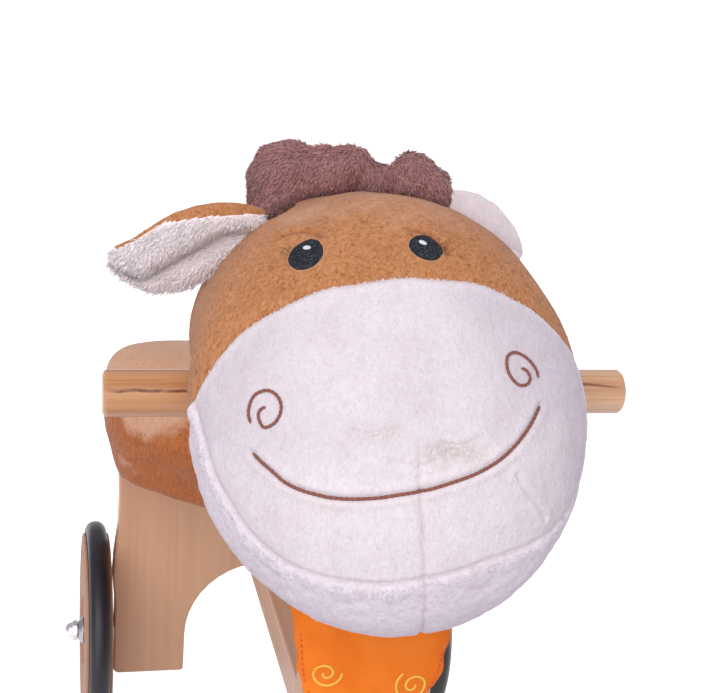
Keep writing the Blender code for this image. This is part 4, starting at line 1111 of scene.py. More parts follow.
P, N = scatter(mane, 0.00108, 5, lambda P, N: clear_of_head(P, N))
mane_fur = many_spikes("mane_fur", P, N, along_surface(N, mane_flow(P)), 0.0046, 0.0010, M["mane_fur"], 6, bend=0.66)


def paint_shadow_near_head(ob):
    """Painted shadow: tufts lying just over the head are darkened, most of all on its right side; their own tone is
    lowered and their colour pulled towards the root colour.
    """
    P = get_co(ob.data)[::7]
    Q = (P - HEAD_C - HEAD_SHIFT) @ HEAD_TURN + np.array([0.0, -0.055, 0.418])
    shadowed = np.clip(1.35 - (head_field(Q) - 1.0) / 0.085, 0.0, 1.0) * (P[:, 1] < Y_BAR + 0.03)
    much = np.interp(P[:, 0], [-0.062, -0.030, 0.0], [1.0, 0.85, 0.40])
    a = ob.data.attributes["own"]
    own = np.empty(len(a.data), np.float32)
    a.data.foreach_get("value", own)
    a.data.foreach_set("value", own * np.repeat(1.0 - shadowed * much, 7).astype(np.float32))
    a = ob.data.attributes["along"]
    along = np.empty(len(a.data), np.float32)
    a.data.foreach_get("value", along)
    a.data.foreach_set("value", along * np.repeat(1.0 - 0.9 * shadowed * much, 7).astype(np.float32))


# painted shadow on the mane's tufts where they lie over the head
for ob in mane_fur:
    paint_shadow_near_head(ob)


def near_head(P, N):
    Q = (P - HEAD_C - HEAD_SHIFT) @ HEAD_TURN + np.array([0.0, -0.055, 0.418])
    f = head_field(Q)
    return (f > 1.0) & (f < 1.075) & (N[:, 1] < 0.2)


P, N = scatter(mane, 0.00075, 51, near_head)
D = np.stack([0.5 * (P[:, 0] + 0.02) / 0.05, -0.5 * np.ones(len(P)), -1.0 * np.ones(len(P))], 1) + 0.5 * np.stack([noise_at(P, 0.006, k) for k in (1.0, 2.0, 3.0)], 1)
mane_fringe = spikes("mane_fringe", P, N, along_surface(N, D), 0.0052, 0.0008, M["mane_fur"], 52, bend=0.72)
# the same painted shadow on the fringe
paint_shadow_near_head(mane_fringe)


# ------------------------------------------------------------------ the head's pile
def head_pile():
    """Short tufts lying on the head, white on the muzzle and brown elsewhere, clear of the stitches."""
    keep_off = [(on_head(MOUTH, 0.001), 0.0024)] + [(on_head(pairs, 0.001), 0.0022) for pairs in NOSTRILS.values()]
    keep_off += [(heading([centre]) * head_reach(heading([centre]))[0], max(a, b) / 1000 + 0.0014) for centre, a, b, _, _ in EYES.values()]
    P, N = scatter(head, 0.00118, 41)
    Q = (P - HEAD_C - HEAD_SHIFT) @ HEAD_TURN
    D = Q / np.linalg.norm(Q, axis=1)[:, None]
    turn = np.degrees(np.arctan2(D[:, 0], -D[:, 1]))
    s_top = Q @ SEAM_N - SEAM_D - np.interp(turn, *SEAM_SWAY)
    is_white = s_top > -0.0002
    rng = np.random.default_rng(43)
    free = np.ones(len(P), bool)
    for line, gap in keep_off:
        d, _ = nearest(Q, line)
        free &= d > gap
    free &= is_white | (rng.uniform(0, 1, len(P)) < 0.42)
    W = P - np.array([0, Y_BAR, 0])
    flow = np.stack([0.9 * W[:, 0] / 0.08, -0.5 * np.ones(len(P)), -0.9 - 1.2 * (W[:, 2] - 0.44) / 0.1], 1)
    flow += 0.7 * np.stack([noise_at(P, 0.014, k) for k in (2.0, 5.0, 8.0)], 1)
    made = []
    for label, pick, mat, length, width in (("white", free & is_white, "muzzle_fur", 0.0017, 0.00050), ("brown", free & ~is_white, "brown_fur", 0.0018, 0.00060)):
        made += many_spikes("pile_" + label, P[pick], N[pick], along_surface(N[pick], flow[pick]), length, width, M[mat], 44, bend=0.80)
        print("pile", label, int(pick.sum()))
    # a fringe stands up along the chin seam
    P, N = scatter(head, 0.00078, 45, lambda P, N: (P[:, 2] < 0.475) & (P[:, 1] < Y_BAR - 0.045))
    Q = (P - HEAD_C - HEAD_SHIFT) @ HEAD_TURN
    D = Q / np.linalg.norm(Q, axis=1)[:, None]
    turn = np.degrees(np.arctan2(D[:, 0], -D[:, 1]))
    rise = np.degrees(np.arcsin(D[:, 2]))
    table = np.array(CHIN_SEAM)
    gap, _ = nearest(Q, on_head(CHIN_SEAM, 0.001))
    below = rise < np.interp(turn, table[:, 0], table[:, 1], left=-90, right=-90)
    pick = below & (gap < 0.0085) & (gap > 0.0004) & (turn < 40.0) & (noise_at(P, 0.006, 3.0) > -0.22)
    down = np.stack([0.8 * P[pick][:, 0] / 0.08, -0.35 * np.ones(int(pick.sum())), -0.9 * np.ones(int(pick.sum()))], 1)
    down += 0.8 * np.stack([noise_at(P[pick], 0.008, k) for k in (2.0, 5.0, 8.0)], 1)
    made.append(spikes("pile_fringe", P[pick], N[pick], along_surface(N[pick], down), 0.0023, 0.00060, M["fringe_fur"], 46, bend=0.86))
    print("fringe", int(pick.sum()))
    return made


head_fur = head_pile()


# ------------------------------------------------------------------ ears
def ear_shell(tag, top, low, crease, band, depth, full, mats, columns=130):
    """A stuffed ear lying across the view: outlines as (x, z) in mm, depth as (x, y) in mm from the bar, full as the
    fullness in mm of the upper flap, the lower flap, the crease and the back."""
    up, lo, cr, ba, de = (np.array(a, float) for a in (top, low, crease, band, depth))
    x0, x1 = up[0, 0], up[-1, 0]
    s = np.linspace(0, 1, columns)
    s = 0.5 - 0.5 * np.cos(np.pi * s)
    xs = x0 + (x1 - x0) * s
    n1, n2, n3 = 26, 26, 34
    verts, kind = [], []
    for x in xs:
        zt, zl, zc, zb, y0 = (np.interp(x, a[:, 0], a[:, 1]) if a[0, 0] < a[-1, 0] else np.interp(x, a[::-1, 0], a[::-1, 1]) for a in (up, lo, cr, ba, de))
        tall = max(zt - zl, 0.3)
        zc = min(max(zc, zl + 0.15 * tall), zt - 0.15 * tall)
        k = min(1.0, (tall / 26.0) ** 0.7)
        for i in range(n1):  # upper flap, fullest just above the crease
            u = i / (n1 - 1)
            z = zt + (zc - zt) * u
            y = -full[0] * k * math.sin(math.pi * u**1.45) ** 0.62 + full[2] * k * u**6
            verts.append((x, y0 + y, z))
            kind.append(1 if z > zb else 0)
        for i in range(1, n2):  # lower flap
            u = i / n2
            z = zc + (zl - zc) * u
            y = -full[1] * k * math.sin(math.pi * u) ** 0.7 + full[2] * k * (1 - u) ** 3
            verts.append((x, y0 + y, z))
            kind.append(0)
        for i in range(n3):  # back
            u = i / n3
            z = zl + (zt - zl) * u
            verts.append((x, y0 + 0.6 + full[3] * k * math.sin(math.pi * u) ** 0.6, z))
            kind.append(2)
    ring = n1 + n2 - 1 + n3
    verts = np.array(verts) / 1000.0 + np.array([0, Y_BAR, 0])
    faces = []
    for i in range(columns - 1):
        for j in range(ring):
            k = (j + 1) % ring
            faces.append((i * ring + j, i * ring + k, (i + 1) * ring + k, (i + 1) * ring + j))
    faces.append(tuple(reversed(range(ring))))
    faces.append(tuple(range((columns - 1) * ring, columns * ring)))
    ob = to_object("ear_" + tag, verts, faces, mats)
    for p in ob.data.polygons:
        p.material_index = 1 if min(kind[i] for i in p.vertices) == 0 else 0
    bm = bmesh.new()
    bm.from_mesh(ob.data)
    bmesh.ops.recalc_face_normals(bm, faces=bm.faces)
    bm.to_mesh(ob.data)
    bm.free()
    m = ob.modifiers.new("relax", "SMOOTH")
    m.factor = 0.5
    m.iterations = 4
    bake(ob)
    ob.data.shade_smooth()
    return ob


EAR_R = dict(
    top=[(-149.2, 493.5), (-148.6, 498.5), (-146.2, 501.0), (-137.3, 504.2), (-131.8, 508.7), (-123.2, 513.7), (-116.5, 518.2), (-106.2, 521.1), (-96.2, 522.1), (-85.5, 521.9), (-78.3, 520.6), (-70.5, 518.3), (-56.0, 514.0)],
    low=[(-149.2, 493.0), (-148.6, 491.0), (-147.0, 488.3), (-140.8, 482.8), (-133.7, 478.2), (-126.1, 475.4), (-116.7, 474.8), (-107.3, 476.1), (-102.0, 479.1), (-96.8, 482.6), (-89.1, 489.8), (-78.9, 499.4), (-56.0, 504.0)],
    crease=[(-149.2, 488.0), (-136.1, 480.5), (-128.1, 484.4), (-119.6, 489.5), (-110.9, 494.5), (-102.3, 499.0), (-93.6, 504.6), (-87.9, 506.5), (-72.2, 508.0), (-56.0, 509.0)],
    band=[(-149.2, 500.0), (-146.2, 498.8), (-137.2, 502.6), (-131.7, 505.7), (-123.1, 511.3), (-108.8, 513.9), (-98.3, 515.4), (-91.2, 515.8), (-78.1, 516.1), (-56.0, 513.0)],
    depth=[(-149.2, -30.0), (-78.0, -16.0), (-56.0, -8.0)],
)
EAR_L = dict(
    top=[(20.0, 522.0), (27.0, 524.3), (34.0, 525.6), (48.8, 523.9), (58.3, 521.5), (73.0, 513.2), (89.4, 498.3), (95.7, 486.3), (97.2, 481.5)],
    low=[(20.0, 508.0), (28.8, 505.3), (39.8, 497.8), (55.9, 486.4), (72.2, 477.7), (84.5, 473.8), (93.9, 475.7), (97.2, 480.5)],
    crease=[(20.0, 516.0), (40.0, 509.0), (58.0, 500.0), (80.0, 489.0), (97.2, 480.8)],
    band=[(20.0, 560.0), (97.2, 560.0)],
    depth=[(20.0, 2.0), (60.0, 24.0), (97.2, 46.0)],
)
ear_r = ear_shell("right_base", EAR_R["top"], EAR_R["low"], EAR_R["crease"], EAR_R["band"], EAR_R["depth"], (8.0, 4.0, 3.0, 3.5), [M["brown"], M["ear_white"]])
ear_l = ear_shell("left_base", EAR_L["top"], EAR_L["low"], EAR_L["crease"], EAR_L["band"], EAR_L["depth"], (5.0, 5.0, -3.6, 3.5), [M["brown"], M["ear_white"]])
ruffle(ear_r, [(0.0008, 0.012, (1, 1, 1))], 4.0)
ruffle(ear_l, [(0.0007, 0.020, (1, 1, 1))], 5.0)


def ear_coat(tag, ob, shape, length, width, spacing, seed, lie=0.58):
    """Tufts on an ear: white inside, brown on its rim and back."""
    P, N = scatter(ob, spacing, seed, lambda P, N: clear_of_head(P, N, 0.004))
    x, z = P[:, 0] * 1000, P[:, 2] * 1000
    cr, ba = np.array(shape["crease"]), np.array(shape["band"])
    upper = z > np.interp(x, cr[:, 0], cr[:, 1])
    inner = (N[:, 1] < 0.12) & (z < np.interp(x, ba[:, 0], ba[:, 1]) + 0.3)
    left = tag == "right"
    D = np.where(upper[:, None], np.array([-0.65, -0.2, -0.75]) if left else np.array([0.8, -0.1, -0.5]), np.array([-0.75, -0.1, -0.55]) if left else np.array([0.7, -0.1, -0.7]))
    D = D + 0.35 * np.stack([noise_at(P, 0.007, k) for k in (3.0, 5.0, 6.0)], 1)
    E = np.tile([-1.0 if left else 1.0, 0.0, -0.3], (len(P), 1)) + 0.3 * np.stack([noise_at(P, 0.010, k) for k in (1.0, 2.0, 4.0)], 1)
    rng = np.random.default_rng(seed + 1)
    outer = ~inner & (rng.uniform(0, 1, len(P)) < 0.55)
    return [
        spikes(f"ear_fur_{tag}_inner", P[inner], N[inner], along_surface(N[inner], D[inner]), length, width, M["white_fur"], seed, bend=lie),
        spikes(f"ear_fur_{tag}_outer", P[outer], N[outer], along_surface(N[outer], E[outer]), 0.0017, 0.0006, M["brown_fur"], seed, bend=0.70),
    ]


ear_parts = ear_coat("right", ear_r, EAR_R, 0.0054, 0.00090, 0.00078, 31, 0.68)
ear_parts += ear_coat("left", ear_l, EAR_L, 0.0014, 0.00050, 0.00100, 35)


# ------------------------------------------------------------------ neck sleeve
def neck_ring(grow, n, z=0.0, wob=0.0):
    out = []
    for k in range(n):
        a = 2 * math.pi * (k + 0.5) / n
        c, d = math.cos(a), math.sin(a)
        out.append((math.copysign(abs(c) ** 0.62, c) * (0.0440 + grow), Y_NECK + math.copysign(abs(d) ** 0.62, d) * (0.0215 + grow)))
    return out


def make_neck():
    rows = [(0.2900, -0.0200), (0.2900, -0.0055), (0.2912, -0.0030), (0.2940, -0.0014)] + [(0.2940 + 0.0020 * i, -0.0004) for i in range(1, 40)] + [(0.3725, -0.006), (0.3725, -0.0200)]
    n = 220
    verts, faces = [], []
    for z, grow in rows:
        verts += [(x, y, z) for x, y in neck_ring(grow, n)]
    for i in range(len(rows) - 1):
        for j in range(n):
            k = (j + 1) % n
            faces.append((i * n + j, i * n + k, (i + 1) * n + k, (i + 1) * n + j))
    faces.append(tuple(reversed(range(n))))
    faces.append(tuple(range((len(rows) - 1) * n, len(rows) * n)))
    ob = to_object("plush_neck", verts, faces, M["brown"])
    ruffle(ob, [(0.0006, 0.018, (1, 1, 2.2)), (0.0003, 0.0028, (1, 1, 0.6))], 6.0)
    return ob


neck = make_neck()


# ------------------------------------------------------------------ bandana
BIB_HALF, BAND_TOP, BAND_LOW = 0.0440, 0.3240, 0.2990
BIB_EDGE = ([-0.0466, -0.0456, -0.0442, -0.0427, -0.0402, -0.0330, -0.0150, 0.0080, 0.0260, 0.0360, 0.0402, 0.0425, 0.0448, 0.0466], [0.2990, 0.2930, 0.2800, 0.2680, 0.2560, 0.2460, 0.2400, 0.2410, 0.2465, 0.2550, 0.2670, 0.2800, 0.2920, 0.2990])


def make_bandana():
    n, rows = 300, 60
    thick = 0.0008
    ring = neck_ring(0.0026, n)
    P = np.zeros((rows + 1, n, 3))
    lower = []
    for k, (x, y) in enumerate(ring):
        z = float(np.interp(x, *BIB_EDGE)) + 0.0008 * math.sin(x * 420) if y < Y_NECK else BAND_LOW
        lower.append(z)
    for k, (x, y) in enumerate(ring):
        for i in range(rows + 1):
            t = i / rows
            z = BAND_TOP + (lower[k] - BAND_TOP) * t
            dx = x
            dy = y
            if y < Y_NECK:  # the bib swings clear of the board and waves at its edges
                drop = max(0.0, (0.292 - z) / 0.059)
                edge = min(abs(x) / BIB_HALF, 1.0) ** 3
                dy -= 0.0012 * drop + 0.0011 * math.sin(z * 310 + x * 40) * edge * min(1, drop * 3) + 0.0007 * math.sin(x * 150 + 1.0) * drop
                dx += 0.0008 * math.sin(z * 360 + (1 if x > 0 else 2.2)) * edge * min(1, drop * 3)
            P[i, k] = (dx, dy, z + 0.0004 * math.sin(k * 0.21))
    verts = P.reshape(-1, 3)
    faces = []
    for i in range(rows):
        for j in range(n):
            k = (j + 1) % n
            faces.append((i * n + k, i * n + j, (i + 1) * n + j, (i + 1) * n + k))
    ob = to_object("bandana_cloth", verts, faces, M["cotton"])
    s = ob.modifiers.new("cloth", "SOLIDIFY")
    s.thickness = thick
    s.offset = 0.0
    bake(ob)
    ob.data.shade_smooth()
    return ob, P


bandana, cloth_grid = make_bandana()
cloth_area = 0.0
g = cloth_grid
for i in range(g.shape[0] - 1):
    a = g[i]
    b = g[i + 1]
    a2, b2 = np.roll(a, -1, 0), np.roll(b, -1, 0)
    cloth_area += 0.5 * np.linalg.norm(np.cross(a2 - a, b - a), axis=1).sum() + 0.5 * np.linalg.norm(np.cross(a2 - b2, b - b2), axis=1).sum()
perimeter = np.linalg.norm(np.roll(g[0], -1, 0) - g[0], axis=1).sum()
print("bandana area", cloth_area, "perimeter", perimeter)


def cloth_point(x, z):
    """A point on the bib's front."""
    front = [k for k in range(g.shape[1]) if g[0, k, 1] < Y_NECK]
    flat = g[:, front].reshape(-1, 3)
    d = (flat[:, 0] - x) ** 2 + (flat[:, 2] - z) ** 2
    i = np.argsort(d)[:4]
    w = 1 / (d[i] + 1e-9)
    w /= w.sum()
    return np.array([x, float((flat[i, 1] * w).sum()), z])


def print_line(name, pts, mat, width, height, lift=0.0006, step=0.0006, **more):
    line = smooth_line([cloth_point(x, z) + np.array([0, -lift, 0]) for x, z in pts], step)
    return tube(name, line, np.tile([0, -1.0, 0], (len(line), 1)), mat, width, height, 6, **more)


def spiral(cx, cz, r, turns, start, hand=1, n=34, tail=0.0):
    pts = []
    for i in range(n + 1):
        t = i / n
        a = start + hand * 2 * math.pi * turns * t
        rr = r * (0.10 + 0.90 * t)
        pts.append((cx + rr * math.cos(a), cz + rr * math.sin(a) * 0.95))
    return pts


gold = []
SPIRALS = [(-0.0285, 0.2676, 0.0092, 1.6, 2.6, 1), (0.0222, 0.2578, 0.0110, 1.7, 0.3, -1), (-0.0060, 0.2465, 0.0060, 1.5, 2.0, -1)]
for i, (cx, cz, r, turns, start, hand) in enumerate(SPIRALS):
    gold.append(print_line(f"spiral_{i}", spiral(cx, cz, r, turns, start, hand), M["gold"], 0.0014, 0.0003))
gold = join("bandana_print", gold)

hem = []
hem_line = []
for x in np.linspace(-0.0452, 0.0430, 160):
    z = float(np.interp(x, *BIB_EDGE))
    inward = np.array([-0.002 - x, 0.300 - z])
    inward /= np.linalg.norm(inward)
    hem_line.append(cloth_point(x + inward[0] * 0.0026, z + inward[1] * 0.0026) + np.array([0, -0.0006, 0]))
hem_line = smooth_line(hem_line[::4], 0.0005)
i = 0
while i + 4 < len(hem_line):
    seg = hem_line[i : i + 5]
    hem.append(tube("stitch", seg, np.tile([0, -1.0, 0], (5, 1)), M["hem"], 0.0010, 0.0004, 5))
    i += 7
hem = join("bandana_stitches", hem)


# ------------------------------------------------------------------ seat
SEAT_BACK, SEAT_FRONT, SEAT_WIDE = 0.3260, 0.1300, 0.1370


def seat_half_width(t, inset=0.0):
    wide = SEAT_WIDE - inset
    nose = 0.040 - inset * 0.6
    s = min(max((t - 0.06) / 0.66, 0.0), 1.0)
    w = nose + (wide - nose) * (s * s * (3 - 2 * s)) ** 0.92
    front = math.sqrt(max(0.0, 1 - (1 - min(t / 0.16, 1.0)) ** 2))
    back = math.sqrt(max(0.0, 1 - max(0.0, (t - 0.80) / 0.20) ** 2.6))
    return max(w * front * (0.30 + 0.70 * back), 0.0)


def seat_outline(n=200):
    y0, y1 = Y_BAR + SEAT_FRONT, Y_BAR + SEAT_BACK
    half = []
    for i in range(161):
        t = 0.5 - 0.5 * math.cos(math.pi * i / 160)
        half.append((seat_half_width(t), y0 + (y1 - y0) * t))
    left = [p for p in half if p[0] > 1e-5]
    loop = np.array(left + [(-x, y) for x, y in reversed(left)])
    loop = np.vstack([loop, loop[:1]])
    s = np.concatenate([[0], np.cumsum(np.linalg.norm(np.diff(loop, axis=0), axis=1))])
    at_ = np.linspace(0, s[-1], n + 1)[:-1]
    pts = np.stack([np.interp(at_, s, loop[:, k]) for k in range(2)], 1)
    for _ in range(3):
        pts = (np.roll(pts, 1, 0) + 2 * pts + np.roll(pts, -1, 0)) / 4
    return pts


def make_seat():
    """The cover and its filling: a slightly lean cushion, blown up as cloth so that it creases by itself."""
    plan = seat_outline(300)
    n = len(plan)
    c = np.array([0.0, Y_BAR + SEAT_FRONT + 0.62 * (SEAT_BACK - SEAT_FRONT)])
    d = plan - c
    dist = np.linalg.norm(d, axis=1)
    u = d / dist[:, None]
    slim = 0.0022
    # (inset from the plan outline, share of what is left, height)
    prof = [(0.0195, k, 0.2585) for k in np.linspace(0.0, 1.0, 14)] + [(0.0195, 1.0, 0.2540), (0.0190, 1.0, 0.2500)]
    levels = smooth_line([(0.0180, 0.2482), (0.0160, 0.2490), (0.0115, 0.2560), (0.0070, 0.2660), (0.0020, 0.2810), (0.0000, 0.2970), (0.0003, 0.3110), (0.0028, 0.3260), (0.0085, 0.3352), (0.0190, 0.3405), (0.0330, 0.3424), (0.0430, 0.3428)], 0.0016)
    prof += [(i + slim * min(max((z - 0.256) / 0.02, 0.0), 1.0), 1.0, z - slim * max(z - 0.30, 0.0) / 0.04) for i, z in levels]
    top_z = 0.3428 - slim * 0.0428 / 0.04
    prof += [(0.0430 + slim, k, top_z + 0.0012 * (1 - k)) for k in np.linspace(1.0, 0.0, 46)[1:]]
    rows = []
    for inset, share, z in prof:
        length = np.maximum(dist - inset, dist * 0.25) * share
        xy = c + u * length[:, None]
        t = (xy[:, 1] - Y_BAR - SEAT_FRONT) / (SEAT_BACK - SEAT_FRONT)
        lift = max(0.0, (z - 0.300) / 0.041)
        across = 1.0 - 0.5 * np.minimum(np.abs(xy[:, 0]) / SEAT_WIDE, 1.0) ** 2
        zz = z - 0.010 * lift * across * np.exp(-(((t - 0.45) / 0.26) ** 2)) - 0.014 * lift * np.maximum(0.0, 0.30 - t) / 0.30
        # the cover's hem hangs over the board's edge, except where the beam and the rear board are in its way
        if 0.0115 < inset < 0.0195 and share == 1.0:
            hang = np.clip((np.abs(xy[:, 0]) - 0.041) / 0.008, 0.0, 1.0) * np.clip((Y_BAR + 0.298 - xy[:, 1]) / 0.008, 0.0, 1.0)
            zz = zz - 0.0054 * hang * min(max((0.2620 - z) / 0.0125, 0.0), 1.0)
        rows.append(np.column_stack([xy, zz]))
    verts = np.vstack(rows)
    faces = []
    for i in range(len(prof) - 1):
        for j in range(n):
            k = (j + 1) % n
            faces.append((i * n + j, i * n + k, (i + 1) * n + k, (i + 1) * n + j))
    ob = to_object("plush_seat", verts, faces, M["seat"])
    bm = bmesh.new()
    bm.from_mesh(ob.data)
    bmesh.ops.remove_doubles(bm, verts=bm.verts, dist=2e-5)
    bmesh.ops.recalc_face_normals(bm, faces=bm.faces)
    bm.to_mesh(ob.data)
    bm.free()
    inflate(ob)
    print("seat after the cloth", get_co(ob.data).min(0), get_co(ob.data).max(0))
    refine(ob, 1)
    ruffle(ob, [(0.0012, 0.045, (1, 1, 1)), (0.0005, 0.018, (1, 1, 1.5)), (0.00022, 0.003, (1, 1, 0.6))], 2.0)
    co = get_co(ob.data)
    # painted light and sheen: the cover is pale on top and in two spots low on its right side, and keeps its dark
    # colour low on the sides
    x, z = np.abs(co[:, 0]), co[:, 2]
    edge = np.interp(x, [0.0, 0.050, 0.078, 0.088, 0.105, 0.118, 0.126, 0.1335, 0.140], [0.312, 0.312, 0.310, 0.303, 0.293, 0.292, 0.307, 0.306, 0.284])
    light = 0.5 + (z - edge) / 0.018
    for cx, cz, r in ((-0.1190, 0.2630, 0.0055), (-0.1130, 0.2580, 0.0035)):
        light = np.maximum(light, 0.55 * np.exp(-(((co[:, 0] - cx) ** 2 + (z - cz) ** 2) / r**2)))
    put_attribute(ob.data, "light", np.clip(light, -0.4, 1.4))
    return ob


def inflate(ob):
    """Blows the cover up a little, with its bottom edge held on the seat board."""
    ob.data.materials.clear()
    r = ob.modifiers.new("remesh", "REMESH")
    r.mode = "VOXEL"
    r.voxel_size = 0.0050
    bake(ob)
    start = get_co(ob.data)
    held = ob.vertex_groups.new(name="held")
    for i, p in enumerate(start):
        w = 1.0 if p[2] < 0.2600 else 0.0
        if w:
            held.add([i], w, "REPLACE")
    m = ob.modifiers.new("cloth", "CLOTH")
    c = m.settings
    c.quality = 6
    c.mass = 0.3
    c.use_pressure = True
    c.uniform_pressure_force = 4.0
    c.tension_stiffness = 18.0
    c.compression_stiffness = 18.0
    c.shear_stiffness = 6.0
    c.bending_stiffness = 0.6
    c.effector_weights.gravity = 0.0
    c.vertex_group_mass = "held"
    c.pin_stiffness = 1.0
    m.point_cache.frame_start = 1
    m.point_cache.frame_end = 20
    for f in range(1, 21):
        scene.frame_set(f)
        bpy.context.view_layer.update()
    deps = bpy.context.evaluated_depsgraph_get()
    done = get_co(ob.evaluated_get(deps).data)
    scene.frame_set(1)
    ob.modifiers.clear()
    ob.vertex_groups.clear()
    move = done - start
    far = np.linalg.norm(move, axis=1)
    cap = 0.0080
    move *= np.minimum(1.0, cap / np.maximum(far, 1e-9))[:, None]
    print("seat cloth moved", float(far.max()), float(far.mean()))
    set_co(ob.data, start + move)
    ob.data.materials.append(M["seat"])
    ob.data.shade_smooth()


seat = make_seat()

# ------------------------------------------------------------------ tail
tail_balls = [
    (at(0.0, 0.3310, 0.3020), (0.0110, 0.0100, 0.0080), (0, 0, 0)),
    (at(0.0, 0.3430, 0.2900), (0.0150, 0.0120, 0.0130), (0, 0, 0)),
    (at(0.0, 0.3490, 0.2660), (0.0190, 0.0130, 0.0220), (0, 0, 0)),
    (at(0.0, 0.3500, 0.2340), (0.0210, 0.0130, 0.0260), (0, 0, 0)),
    (at(0.0, 0.3490, 0.2040), (0.0190, 0.0120, 0.0240), (0, 0, 0)),
    (at(0.0, 0.3470, 0.1800), (0.0110, 0.0080, 0.0140), (0, 0, 0)),
    (at(0.0, 0.3470, 0.2780), (0.0172, 0.0126, 0.0180), (0, 0, 0)),
    (at(0.0, 0.3500, 0.2500), (0.0204, 0.0130, 0.0230), (0, 0, 0)),
    (at(0.0, 0.3498, 0.2190), (0.0204, 0.0126, 0.0230), (0, 0, 0)),
    (at(0.0, 0.3480, 0.1910), (0.0156, 0.0102, 0.0180), (0, 0, 0)),
]
tail = blob("tail_base", tail_balls, 0.0022, M["mane"], 6)
ruffle(tail, [(0.0014, 0.012, (1, 1, 0.5))], 8.0)
P, N = scatter(tail, 0.0016, 15)
D = np.tile([0.0, 0.15, -1.0], (len(P), 1)) + 0.3 * np.stack([noise_at(P, 0.02, 1.0), noise_at(P, 0.02, 2.0), noise_at(P, 0.02, 3.0)], 1)
tail_fur = spikes("tail_fur", P, N, along_surface(N, D), 0.0085, 0.0012, M["mane_fur"], 16, bend=0.6)


# ------------------------------------------------------------------ wheels
def lathe(name, profile, centre, mat, sides=144, side=1.0):
    """A ring turned about X. profile is a closed list of (out along X, radius)."""
    verts, faces = [], []
    m = len(profile)
    for i in range(sides):
        a = 2 * math.pi * i / sides
        for x, r in profile:
            verts.append((centre[0] + side * x, centre[1] + r * math.sin(a), centre[2] + r * math.cos(a)))
    for i in range(sides):
        k = (i + 1) % sides
        for j in range(m):
            l = (j + 1) % m
            faces.append((i * m + j, i * m + l, k * m + l, k * m + j))
    ob = to_object(name, verts, faces, mat)
    bm = bmesh.new()
    bm.from_mesh(ob.data)
    bmesh.ops.recalc_face_normals(bm, faces=bm.faces)
    bm.to_mesh(ob.data)
    bm.free()
    ob.data.shade_smooth()
    ob.data.set_sharp_from_angle(angle=math.radians(40))
    return ob


AXLE_Z = 0.0882 * math.cos(math.pi / 32)
R_TOP = AXLE_Z - 0.0001


def tyre_profile():
    """A round rubber ring, seated in the disc's channel."""
    w, r, c = 0.0080, R_TOP, 0.0074
    pts = []
    for i in range(13):
        a = math.radians(90.0 * i / 12)
        pts.append((-w + c - c * math.cos(a), r - c + c * math.sin(a)))
    crown = pts + [(-x, y) for x, y in reversed(pts)]
    return [(-w + 0.0006, 0.0730), (-w, 0.0745), *crown, (w, 0.0745), (w - 0.0006, 0.0730)]


def disc_profile():
    """The turned disc with its channel, rounded lips and a shallow ring cut in the outer face."""
    o, e = 0.0101, 0.0012
    pts = [(-o, 0.0068), (-o, 0.0782 - e)]
    pts += [(-o + e * (1 - math.cos(a)), 0.0782 - e + e * math.sin(a)) for a in (0.4, 0.8, 1.2, 1.5708)]
    pts += [(-0.0084, 0.0782), (-0.0084, 0.0726), (0.0084, 0.0726), (0.0084, 0.0782)]
    pts += [(o - e + e * math.sin(a), 0.0782 - e + e * math.cos(a)) for a in (0.0, 0.4, 0.8, 1.2, 1.5708)]
    pts += [(o, 0.0640), (o - 0.0007, 0.0632), (o - 0.0007, 0.0618), (o, 0.0610), (o, 0.0290), (o - 0.0002, 0.0284), (o - 0.0010, 0.0280), (o - 0.0010, 0.0068)]
    return pts


def hex_dome(name, centre, side, x1):
    """A domed cap nut: a hexagon with rounded corners and a ball on it, turned about X, open towards the wheel."""
    flat, ball = 0.0072, 0.0066
    prof = [(x1 + 0.0064, 0.0043, 0), (x1, 0.0043, 0), (x1, flat - 0.0004, 1), (x1 + 0.0004, flat, 1), (x1 + 0.0034, flat, 1), (x1 + 0.0040, flat - 0.0006, 1), (x1 + 0.0042, ball, 0)]
    prof += [(x1 + 0.0042 + 0.0061 * math.sin(a), ball * math.cos(a), 0) for a in np.linspace(0.1, math.pi / 2 - 0.06, 12)]
    sides = 96
    verts, faces = [], []
    m = len(prof)
    for i in range(sides):
        a = 2 * math.pi * i / sides
        corner = (a + math.pi / 6) % (math.pi / 3) - math.pi / 6
        for x, r, is_hex in prof:
            k = min(1.0 / math.cos(corner), 1.115) if is_hex else 1.0
            verts.append((centre[0] + side * x, centre[1] + r * k * math.sin(a), centre[2] + r * k * math.cos(a)))
    for i in range(sides):
        k = (i + 1) % sides
        for j in range(m - 1):
            faces.append((i * m + j, i * m + j + 1, k * m + j + 1, k * m + j))
    faces.append(tuple(i * m for i in range(sides)))
    faces.append(tuple(i * m + m - 1 for i in reversed(range(sides))))
    ob = to_object(name, verts, faces, M["chrome"])
    bm = bmesh.new()
    bm.from_mesh(ob.data)
    bmesh.ops.recalc_face_normals(bm, faces=bm.faces)
    bm.to_mesh(ob.data)
    bm.free()
    ob.data.set_sharp_from_angle(angle=math.radians(38))
    return ob


